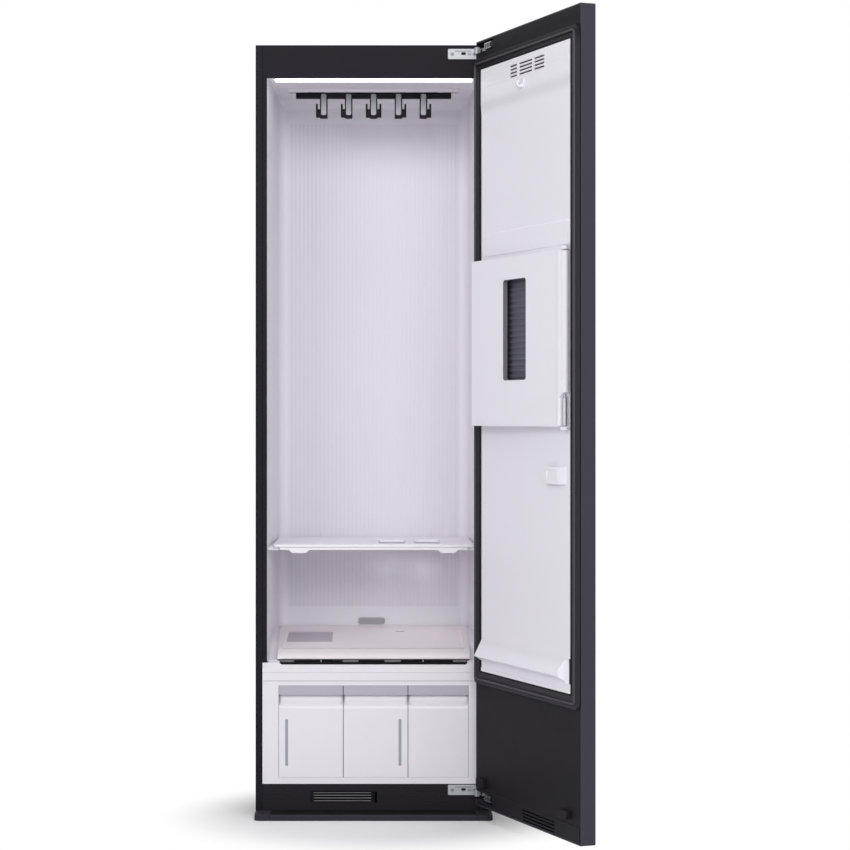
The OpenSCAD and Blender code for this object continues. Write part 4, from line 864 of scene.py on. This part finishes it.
bulb = sealSet["width"] / 2
doorSeal = runTree(makeSealTree(), "doorSeal", "sealGraphite", {"Waist": sealSet["waist"]}, {
    "Width": span(sealSet["u"]) - 2 * bulb, "Height": span(sealSet["z"]) - 2 * bulb,
    "Corner": sealSet["corner"] - bulb, "Bulb": bulb, "Rise": span(sealSet["h"]) / 2})
sealMiddle = shift(*(sum(sealSet[side]) / 2 for side in ("u", "z", "h")))
bm = bmesh.new()
takeMesh(bm, doorSeal)
buildPiece("doorSeal", "door", "sealGraphite", bm, doorFace @ sealMiddle, ["door_gasket"], angle=60)
print("door seal grown")

# Bars in a row: slats, ribs and louvres
barSet = {"cornerSteps": 3}


def makeBarTree():
    tree, given, result = newShape("bars", {
        "Count": 2, "Start": (0, 0, 0), "Step": (0, 0, 0), "Length": 0.1, "Width": 0.01, "Height": 0.01,
        "Corner": 0.001, "Tilt": 0.0})
    path = form(tree, "CurvePrimitiveLine", {"End": combine(tree, given["Length"])})[0]
    block = roundedBlock(tree, given["Width"], given["Height"], given["Corner"], barSet["cornerSteps"])
    tilted = form(tree, "Transform", {"Geometry": block, "Rotation": combine(tree, z=given["Tilt"])})[0]
    bar = form(tree, "CurveToMesh", {"Curve": path, "Profile Curve": tilted, "Fill Caps": True})[0]
    points = form(tree, "MeshLine", {"Count": given["Count"], "Start Location": given["Start"],
                                     "Offset": given["Step"]})[0]
    placed = form(tree, "InstanceOnPoints", {"Points": points, "Instance": bar})[0]
    return endShape(tree, given, result, placed)


barTree = makeBarTree()


# Each run: count, start, step, length, width, height, corner and tilt, in millimetres and degrees
def addBars(name, body, finishName, runs, place=None):
    bm = bmesh.new()
    for count, start, step, length, width, height, corner, tilt in runs:
        takeMesh(bm, runTree(barTree, name, finishName, {"Count": count, "Tilt": math.radians(tilt)}, {
            "Start": start, "Step": step, "Length": length, "Width": width, "Height": height,
            "Corner": corner}))
    buildPiece(name, body, finishName, bm, place)


# Lowest of a row that is centred between two heights
def firstOfRow(pair, step, count):
    return sum(pair) / 2 - step * (count - 1) / 2


# Plinth grille: a frame, dark blocks at its ends and a sheet behind, and slanting slats
grilleSet = {"x": (-163.25, 11.25), "z": (31.75, 65.25), "rim": 2.5, "front": 1.0, "back": 12.0,
             "corners": (1.2, 0.8), "blocks": (8.0, 15.0), "overlap": 0.2, "blockCorner": 0.5,
             "setBack": (0.6, 2.4), "knob": 9.0, "knobCorner": 6.0, "knobDepth": (0.8, 1.0), "sheet": 0.8,
             "sheetOver": 1.0}
slatSet = {"slats": 4, "step": 6.9, "height": 1.7, "depth": 4.6, "corner": 0.5, "tilt": 8.0, "y": 6.4,
           "over": 0.5}
holeX, holeZ = (widen(grilleSet[side], -grilleSet["rim"]) for side in ("x", "z"))
slatX = (holeX[0] + grilleSet["blocks"][0], holeX[1] - grilleSet["blocks"][1])
front, back, corner = grilleSet["front"], grilleSet["back"], grilleSet["blockCorner"]
addRings("plinthFrame", "cabinet", "plinthBlack", [
    ((grilleSet["x"], grilleSet["z"], grilleSet["corners"][0]), (holeX, holeZ, grilleSet["corners"][1]),
     front, back)], upright, rounding=0.3, replaced=["plinth_grille"])
(left, right), inside = (widen(hole, grilleSet["overlap"]) for hole in (holeX, holeZ))
addBoards("plinthBlocks", "cabinet", "grilleBlack", [
    ((left, slatX[0]), inside, corner, front + grilleSet["setBack"][0], back),
    ((slatX[1], right), inside, corner, front + grilleSet["setBack"][1], back),
    ((slatX[1] + grilleSet["knob"], right), inside, grilleSet["knobCorner"],
     front + grilleSet["knobDepth"][0], back - grilleSet["knobDepth"][1]),
    (widen(slatX, grilleSet["sheetOver"]), inside, corner, back - grilleSet["sheet"], back)], upright)
slatRun = widen(slatX, slatSet["over"])
slatLow = firstOfRow(grilleSet["z"], slatSet["step"], slatSet["slats"])
addBars("plinthSlats", "cabinet", "slatGrey", [
    (slatSet["slats"], (slatRun[0], slatSet["y"], slatLow), (0, 0, slatSet["step"]), span(slatRun),
     slatSet["depth"], slatSet["height"], slatSet["corner"], slatSet["tilt"])])
print("plinth grille built")

# Door: dark boards behind the vent slots, painted shade that stands for the depth of the slots
ventSet = {"columns": ((-75, -32), (-23, 54), (62, 121)), "middle": 298.5, "low": 1838.0, "step": 8.4,
           "height": 4.5, "rows": 4, "corner": 1.0, "slack": 0.05, "h": (1.0, 4.6)}
shades = []
for row in range(ventSet["rows"]):
    low = ventSet["low"] + row * ventSet["step"]
    for column in ventSet["columns"]:
        u = widen([ventSet["middle"] + edge for edge in column], -ventSet["slack"])
        z = widen((low, low + ventSet["height"]), -ventSet["slack"])
        shades.append((u, z, ventSet["corner"], *ventSet["h"]))
addBoards("ventShades", "door", "ventBlack", shades, doorFace, rounding=0.1)

# Dark strips at the inner and outer edges of the door's frame, painted shade of the gaps there; white lips of
# its liner and a lip in the upper hinge pocket
frameGapShadeSet = {"inner": ((47.1, 557.9), (379.7, 1883.1), 1.0, (9.0, 4.5), (7.9, 8.25)),
           "outer": ((4.1, 592.9), (346.1, 1912.9), 14.0, (2.4, 2.8), (0.0, 0.5))}
addRings("frameBeads", "door", "sealRubber", [
    ((widen(u, wideU), widen(z, wideZ), corner + wideZ), (u, z, corner), *rise)
    for u, z, corner, (wideU, wideZ), rise in frameGapShadeSet.values()], doorFace)
lipSet = {"u": (49.5, 558.0), "z": ((379.6, 388.5), (1871.0, 1883.2)), "corner": 0.4, "h": (5.9, 8.3)}
addBoards("linerLips", "door", "bandWhite", [
    (lipSet["u"], z, lipSet["corner"], *lipSet["h"]) for z in lipSet["z"]], doorFace, rounding=0.1)
pocketSet = {"u": (0.3, 1.3), "z": (1948.2, 1954.8), "corner": 0.3, "h": (-35.5, -1.0)}
addBoards("pocketLip", "door", "mouldBlack", [
    (pocketSet["u"], pocketSet["z"], pocketSet["corner"], *pocketSet["h"])], doorFace, rounding=0.1)

# Fills of the hem clamp's groove and of the gap under it: u, z, corner and heights
clampSet = {"gap": ((80.0, 522.0), (1401.0, 1411.3), 0.4, 6.0, 12.4),
            "groove": ((78.5, 550.5), (1424.9, 1426.3), 0.3, 10.0, 12.95)}
addBoards("clampFills", "door", "doorWhite", clampSet.values(), doorFace, rounding=0.1)

# Bed of the press, the pad on its plate and a grey lining of its window, which is painted shade on the
# window's walls
addBoards("bedSheet", "door", "bedRubber", [
    (widen(bedSet["u"], -bedSet["sheetInset"]), widen(bedSet["z"], -bedSet["sheetInset"]), bedSet["corner"],
     bedSet["floor"], bedSet["floor"] + bedSet["sheet"])], doorFace, rounding=0.1)
ribU = widen(bedSet["u"], -bedSet["ribInset"])
ribLow = firstOfRow(bedSet["z"], bedSet["ribStep"], bedSet["ribs"])
addBars("bedRibs", "door", "bedRubber", [
    (bedSet["ribs"], (ribU[0], ribLow, bedSet["floor"] + bedSet["ribHeight"] / 2), (0, bedSet["ribStep"], 0),
     span(ribU), bedSet["ribWidth"], bedSet["ribHeight"], bedSet["ribCorner"], 0.0)], doorFace)
padOuter = (widen(padSet["u"], -padSet["inset"]), widen(padSet["z"], -padSet["inset"]), padSet["corner"])
addRings("pressPad", "press", "bedRubber", [(padOuter, padSet["hole"], padSet["low"], padSet["high"])],
         pressFace, rounding=0.4)
# grey lining: painted shade on the walls of the press plate's window
liningSet = {"u": (247.5, 369.5), "z": (1103.0, 1345.0), "corner": 8.0, "wall": 0.5, "h": (15.6, 27.0)}
liningU, liningZ, corner, wall = (liningSet[key] for key in ("u", "z", "corner", "wall"))
addRings("windowLining", "press", "slatGrey", [
    ((liningU, liningZ, corner), (widen(liningU, -wall), widen(liningZ, -wall), corner - wall),
     *liningSet["h"])], pressFace)

# Pin of the press, with a grooved collar
pinSet = {"r": 2.5, "z": (983.5, 1409.5), "cut": 0.5, "collarR": 6.0, "collarZ": (995.0, 1059.0),
          "groove": 0.5, "grooveHalf": (0.8, 0.5), "rings": (1003.0, 1051.0), "round": 0.8, "sides": 40}
r, collarR = pinSet["r"], pinSet["collarR"]
ends = peg(r, *pinSet["z"], pinSet["cut"], pinSet["cut"])
collar = peg(collarR, *pinSet["collarZ"], pinSet["round"], pinSet["round"])
grooves = []
for z in pinSet["rings"]:
    (wide, narrow), low = pinSet["grooveHalf"], collarR - pinSet["groove"]
    grooves += [(collarR, z - wide), (low, z - narrow), (low, z + narrow), (collarR, z + wide)]
profile = [*ends[:2], (r, pinSet["collarZ"][0]), *collar[:2], *grooves, *collar[2:],
           (r, pinSet["collarZ"][1]), *ends[2:]]
addTurns("pressPin", "door", "collarSatin", [(profile, doorSet["axis"])], pinSet["sides"], onDoor,
         replaced=["press_hinge_pin"])
print("door details built")

# Floor tray: a grey sheet under the intake grille, a small mark, the crease and a rim, with s up the slope
traySet = {"break": (70.0, 421.0), "slope": 4.36}
onTray = shift(0, *traySet["break"]) @ Matrix.Rotation(math.radians(traySet["slope"]), 4, "X")
intakeSet = {"x": (-225.0, -110.0), "s": (87.0, 235.0), "corner": 2.0, "rise": (-1.8, -0.9)}
markSet = {"x": (58.1, 82.9), "s": (240.1, 247.9), "corner": 3.8, "rise": (-1.45, -0.05)}
for name, finishName, values in (("intakeSheet", "intakeGrey", intakeSet), ("trayMark", "slatGrey", markSet)):
    addBoards(name, "cabinet", finishName, [
        (values["x"], values["s"], values["corner"], *values["rise"])], onTray, rounding=0.1)
creaseSet = {"x": (-236.0, 234.0), "y": 69.6, "z": 420.2, "size": (2.2, 1.6), "corner": 0.6}
addBars("trayCrease", "cabinet", "intakeGrey", [
    (1, (creaseSet["x"][0], creaseSet["y"], creaseSet["z"]), (0, 0, 0), span(creaseSet["x"]),
     *creaseSet["size"], creaseSet["corner"], 0.0)])
rimSet = {"x": (-224.0, -111.0), "s": (88.0, 234.0), "width": 2.6, "corners": (3.0, 1.0),
          "rise": (-0.1, 0.35)}
addRings("intakeRim", "cabinet", "intakeGrey", [
    ((widen(rimSet["x"], rimSet["width"]), widen(rimSet["s"], rimSet["width"]), rimSet["corners"][0]),
     (rimSet["x"], rimSet["s"], rimSet["corners"][1]), *rimSet["rise"])], onTray)

# Coves that lead from the liner's side walls down to the tray
coveSet = {"y": (36.0, 391.0), "rows": 30, "steps": 9, "foot": 392.1, "front": 393.0, "below": 3.0,
           "runOut": 150.0, "inner": (246.3, 252.3), "outer": (269.6, 257.7), "rise": 0.85}


def addCove(bm, side):
    (near, far), (slopeY, slopeZ) = coveSet["y"], traySet["break"]
    rows, steps = coveSet["rows"], coveSet["steps"]
    top, foot = [], []
    for i in range(rows + 1):
        share = i / rows
        y = near + share * (far - near)
        swell = min(1.0, (y - near) / (coveSet["runOut"] - near))
        swell = swell * swell * (3 - 2 * swell)  # eases in and out
        level = slopeZ + (y - slopeY) * math.tan(math.radians(traySet["slope"])) - coveSet["below"]
        edge = coveSet["front"] + swell * (level - coveSet["front"])
        inner, outer = (a + share * (b - a) for a, b in (coveSet["inner"], coveSet["outer"]))
        rise = coveSet["rise"] * (outer - inner) * swell
        points = []
        for j in range(steps + 1):
            t = j / steps
            points.append((inner + t * (outer - inner), edge + rise * (1 - math.sqrt(1 - t * t))))
        top.append([bm.verts.new((side * x * mm, y * mm, z * mm)) for x, z in points])
        foot.append([bm.verts.new((side * x * mm, y * mm, coveSet["foot"] * mm)) for x, z in points])
    for i in range(rows):
        for j in range(steps):
            for grid in (top, foot):
                bm.faces.new((grid[i][j], grid[i][j + 1], grid[i + 1][j + 1], grid[i + 1][j]))
        for j in (0, steps):
            bm.faces.new((top[i][j], top[i + 1][j], foot[i + 1][j], foot[i][j]))
    for i in (0, rows):
        for j in range(steps):
            bm.faces.new((top[i][j], top[i][j + 1], foot[i][j + 1], foot[i][j]))


bm = bmesh.new()
for side in (-1, 1):
    addCove(bm, side)
bmesh.ops.recalc_face_normals(bm, faces=bm.faces)
buildPiece("trayCoves", "cabinet", "linerWhite", bm, angle=40)

# Plates on the deck beside the lint filter, and ribs on the vent cover
sillSet = {"x": ((-268.0, -238.5), (238.5, 268.0)), "y": (5.0, 36.0), "corner": 0.5, "z": (390.05, 391.7)}
addBoards("sillPlates", "cabinet", "linerWhite", [
    (x, sillSet["y"], sillSet["corner"], *sillSet["z"]) for x in sillSet["x"]], None, rounding=0.2)
coverSet = {"x": (-36.0, 25.0), "y": 411.1, "z": 455.3, "step": 4.2, "ribs": 3, "size": (1.4, 1.3),
            "corner": 0.4}
addBars("coverRibs", "cabinet", "trimGrey", [
    (coverSet["ribs"], (coverSet["x"][0], coverSet["y"], coverSet["z"]), (0, 0, coverSet["step"]),
     span(coverSet["x"]), *coverSet["size"], coverSet["corner"], 0.0)])

# Grey catches and pale marks along the front of the lint filter
catchSet = {"z": (390.6, 395.2), "depth": (13.4, 17.0), "corner": 0.8, "markCorner": 0.3,
            "catches": ((-236, -203), (-79, -39), (28, 69), (203, 236)),
            "marks": ((-135, -132.6), (125, 127.4))}
addBoards("filterCatches", "lint_filter", "slatGrey", [
    (x, catchSet["z"], catchSet["corner"], *catchSet["depth"]) for x in catchSet["catches"]], upright)
addBoards("filterMarks", "lint_filter", "trimGrey", [
    (x, catchSet["z"], catchSet["markCorner"], *catchSet["depth"])
    for x in catchSet["marks"]], upright, rounding=0.1)

# Seam lines across the lower fascia, and the filling of its upper grooves
seamSet = {"x": (-280.0, 280.0), "corner": 0.15, "seams": ((342.9, 344.1), (364.3, 364.8)),
           "depth": (0.35, 1.15), "fills": ((363.75, 364.25), (364.85, 365.25), (376.75, 378.25)),
           "flush": (0.06, 1.15)}
for name, finishName, lines, depth in (("fasciaSeams", "trimGrey", "seams", "depth"),
                                       ("fasciaFills", "faceWhite", "fills", "flush")):
    addBoards(name, "cabinet", finishName, [
        (seamSet["x"], z, seamSet["corner"], *seamSet[depth])
        for z in seamSet[lines]], upright, rounding=0.05)

# Slope at the back of each finger grip
for body, ends in containerSet.items():
    bm = gripBlock("behind", *widen(ends, -gripSet["inset"]))
    buildPiece(body + "Grip", body, "faceWhite", bm, sideways, angle=40)

# Dark sheet on the base in front of the plinth: painted shade under the plinth's front
stripSet = {"x": (-258.0, 258.0), "y": (-64.0, -0.6), "corner": 2.0, "z": (14.9, 15.25)}
addBoards("baseStrip", "cabinet", "sealRubber", [
    (stripSet["x"], stripSet["y"], stripSet["corner"], *stripSet["z"])], None, rounding=0.1)

# Louvres in the rear panel
louvreSet = {"x": (-223.0, 77.0), "length": 146.0, "low": 190.0, "step": 16.0, "rows": 8, "y": 537.6,
             "size": (4.4, 0.9), "corner": 0.3, "tilt": 32.0}
addBars("louvres", "cabinet", "coatBlack", [
    (louvreSet["rows"], (x, louvreSet["y"], louvreSet["low"]), (0, 0, louvreSet["step"]), louvreSet["length"],
     *louvreSet["size"], louvreSet["corner"], louvreSet["tilt"]) for x in louvreSet["x"]])
print("cabinet details built")

# Heads of the pins in the hinge arms
armPinSet = {"along": (12.0, 22.0, 32.0), "r": 2.5, "rise": 0.5, "cut": (0.3, 0.2), "sides": 20}
reach = math.hypot(reachX, reachY)
armPins = []
for ends in armSet.values():
    for along in armPinSet["along"]:
        centre = (footX + reachX * along / reach, footY + reachY * along / reach)
        armPins.append((peg(armPinSet["r"], *widen(ends, armPinSet["rise"]), *armPinSet["cut"]), centre))
addTurns("armPins", "cabinet", "castBlack", armPins, armPinSet["sides"])

# Dark boards on the arms, painted shade for the gaps between the links; barrels at the feet of the arms and
# bright faces in the door's pockets
linkSet = {"along": (23.0, 30.0), "inset": 1.6, "corner": 0.8, "depth": (-3.85, -3.4)}
addBoards("linkShades", "cabinet", "castBlack", [
    (linkSet["along"], widen(ends, -linkSet["inset"]), linkSet["corner"], *linkSet["depth"])
    for ends in armSet.values()], alongArm @ upright, rounding=0.1)
barrelSet = {"centre": (262.5, -8.5), "r": 6.5, "round": 0.8, "z": ((1935.5, 1952.5), (51.5, 68.5)),
             "sides": 28}
addTurns("armBarrels", "cabinet", "hingeSteel", [
    (peg(barrelSet["r"], *z, barrelSet["round"], barrelSet["round"]), barrelSet["centre"])
    for z in barrelSet["z"]], barrelSet["sides"])
faceSet = {"middle": (61.0, 1943.0), "corner": 0.5, "h": (-3.0, -2.4), "faces": (
    ((46.0, 84.0), (4.8, 7.6)), ((46.0, 84.0), (-7.6, -4.8)), ((46.0, 51.0), (-4.8, 4.8)),
    ((59.0, 63.0), (-4.8, 4.8)), ((72.0, 76.0), (-4.8, 4.8)))}
addBoards("linkFaces", "door", "collarSatin", [
    (u, (middle + z[0], middle + z[1]), faceSet["corner"], *faceSet["h"])
    for middle in faceSet["middle"] for u, z in faceSet["faces"]], doorFace, rounding=0.1)

# Stamped fields on the hinge plates
stampSet = {"middle": (67.0, 1937.0), "fields": (((207.0, 249.0), (5.8, 8.6)), ((239.0, 248.5), (-3.5, 2.7))),
            "corner": 0.8, "depth": (-3.15, -2.9)}
addBoards("plateStamps", "cabinet", "plateGrey", [
    (x, (middle + z[0], middle + z[1]), stampSet["corner"], *stampSet["depth"])
    for middle in stampSet["middle"] for x, z in stampSet["fields"]], upright, rounding=0.05)

# Screws with a cross recess, each body's in one mesh
screwSet = {"head": 3.2, "neck": 2.5, "rise": 1.0, "slot": (1.7, 0.45), "floor": 0.3}


def makeScrewHead(scale):
    bm = bmesh.new()
    long, short = (v * scale for v in screwSet["slot"])
    cross = []
    for c, s in ((1, 0), (0, 1), (-1, 0), (0, -1)):
        for a, b in ((long, -short), (long, 0), (long, short), ((long + short) / 2, short), (short, short),
                     (short, (long + short) / 2)):
            cross.append((a * c - b * s, a * s + b * c))
    turns = [math.atan2(y, x) for x, y in cross]
    rings = []
    for r, z in ((screwSet["head"], 0.0), (screwSet["neck"], screwSet["rise"])):
        rings.append(addLoop(bm, [(r * scale * math.cos(a), r * scale * math.sin(a)) for a in turns], z))
    for z in (screwSet["rise"], screwSet["floor"]):
        rings.append(addLoop(bm, cross, z))
    for lower, upper in zip(rings, rings[1:]):
        bridge(bm, lower, upper)
    bm.faces.new(rings[0][::-1])
    bm.faces.new(rings[-1])
    head = fromBmesh("screwHead", bm)
    smoothFlats(head)
    return head


def makeScrewTree():
    tree, given, result = newShape("screws", {"Head": None})
    head = form(tree, "ObjectInfo", {"Object": given["Head"]})["Geometry"]
    facing = form(tree, "InputNamedAttribute", {"Name": "facing"}, data_type="FLOAT_VECTOR")[0]
    aim = addNode(tree, "FunctionNodeAlignRotationToVector", {"Vector": facing}, axis="Z")[0]
    placed = form(tree, "InstanceOnPoints", {"Points": given["Geometry"], "Instance": head,
                                             "Rotation": aim})[0]
    return endShape(tree, given, result, placed)


screwTree = makeScrewTree()


def addScrews(name, body, finishName, points, facing, scale=1.0):
    mesh = bpy.data.meshes.new(name)
    mesh.from_pydata([tuple(v * mm for v in p) for p in points], [], [])
    facings = mesh.attributes.new("facing", "FLOAT_VECTOR", "POINT")
    facings.data.foreach_set("vector", list(facing) * len(points))
    head = makeScrewHead(scale)
    piece = runTree(screwTree, name, finishName, {"Head": head}, mesh=mesh)
    bpy.data.objects.remove(head)
    dress(piece, finishName, body)


backScrewSet = {"y": 538.9, "sideX": (-288, 288), "sideZ": range(60, 1950, 208), "endX": (-180, -60, 60, 180),
                "endZ": (40, 1946)}
hingeScrewSet = {"x": (200, 256), "y": -3.2, "z": (67, 1937), "scale": 1.3}
backScrews = [(x, backScrewSet["y"], z) for side in ("side", "end")
              for x in backScrewSet[side + "X"] for z in backScrewSet[side + "Z"]]
addScrews("backScrews", "cabinet", "pinChrome", backScrews, (0, 1, 0))
hingeScrews = [(x, hingeScrewSet["y"], z) for x in hingeScrewSet["x"] for z in hingeScrewSet["z"]]
addScrews("hingeScrews", "cabinet", "plateGrey", hingeScrews, (0, -1, 0), hingeScrewSet["scale"])
print("screws set")

# Stage: pale floor that fades to white, soft lamps and a white surround
stageSet = {"floor": 12.0, "floorTone": (0.9, 0.9, 0.91, 1.0), "floorRough": 0.9, "fade": (0.26, 0.56),
            "surround": 0.38}
lampSet = {
    "keyLamp": {"place": (-2.8, -5.2, 3.4), "aim": (0.1, 0.0, 1.0), "size": (2.4, 2.4), "power": 95},
    "frontLamp": {"place": (0.3, -6.4, 3.6), "aim": (0.1, 0.0, 0.9), "size": (2.4, 2.4), "power": 110},
    "fillLamp": {"place": (2.6, -5.6, 2.0), "aim": (0.1, 0.0, 1.0), "size": (2.6, 2.6), "power": 45},
    "topLamp": {"place": (0.2, -1.2, 4.6), "aim": (0.1, 0.0, 0.6), "size": (2.2, 2.2), "power": 32},
    "lensLamp": {"place": (0.0, 0.02, 1.866), "aim": (0.0, 0.16, 0.45), "size": (0.48, 0.02), "power": 0.06},
    "shelfLamp": {"place": (0.0, 0.1, 0.655), "aim": (0.0, 0.17, 0.45), "size": (0.5, 0.02), "power": 0.045},
}


# Rays that see the background as it is: from the camera, off gloss and through glass
def seenRay(tree):
    path = shade(tree, "LightPath")
    seen = calc(tree, "MAXIMUM", path["Is Camera Ray"], path["Is Glossy Ray"])
    return calc(tree, "MAXIMUM", seen, path["Is Transmission Ray"])


floorMesh = bpy.data.meshes.new("floor")
far = stageSet["floor"]
floorMesh.from_pydata([(-far, -far, 0), (far, -far, 0), (far, far, 0), (-far, far, 0)], [], [(0, 1, 2, 3)])
floor = newPiece("floor", floorMesh)
floorFinish, floorTree, floorShader = newMaterial("floor")
fillInputs(floorTree, floorShader, {"Base Color": stageSet["floorTone"], "Roughness": stageSet["floorRough"]})
distance = vectorCalc(floorTree, "LENGTH", shade(floorTree, "TexCoord")["Object"])["Value"]
fade = shade(floorTree, "MapRange", {"Value": distance, "From Min": stageSet["fade"][0],
                                     "From Max": stageSet["fade"][1]}, interpolation_type="SMOOTHSTEP")[0]
glow = shade(floorTree, "Emission", {"Color": white, "Strength": 1.0})[0]
share = calc(floorTree, "MULTIPLY", fade, seenRay(floorTree))
faded = shade(floorTree, "MixShader", {0: share, 1: floorShader.outputs[0], 2: glow})[0]
floorTree.links.new(faded, floorTree.nodes["Material Output"].inputs["Surface"])
floorMesh.materials.append(floorFinish)

surround = bpy.data.worlds.new("surround")
surround.use_nodes = True
worldTree = surround.node_tree
level = shade(worldTree, "Mix", {0: seenRay(worldTree), 2: stageSet["surround"], 3: 1.0},
              data_type="FLOAT")[0]
fillInputs(worldTree, worldTree.nodes["Background"], {"Color": white, "Strength": level})
scene.world = surround

for name, values in lampSet.items():
    lampData = bpy.data.lights.new(name, "AREA")
    lampData.shape = "RECTANGLE"
    lampData.size, lampData.size_y = values["size"]
    lampData.energy = values["power"]
    lamp = bpy.data.objects.new(name, lampData)
    lamp.location = values["place"]
    lamp.rotation_mode = "QUATERNION"
    lamp.rotation_quaternion = (Vector(values["aim"]) - Vector(values["place"])).to_track_quat("-Z", "Y")
    lamp.visible_camera = False
    scene.collection.objects.link(lamp)
print("stage lit")
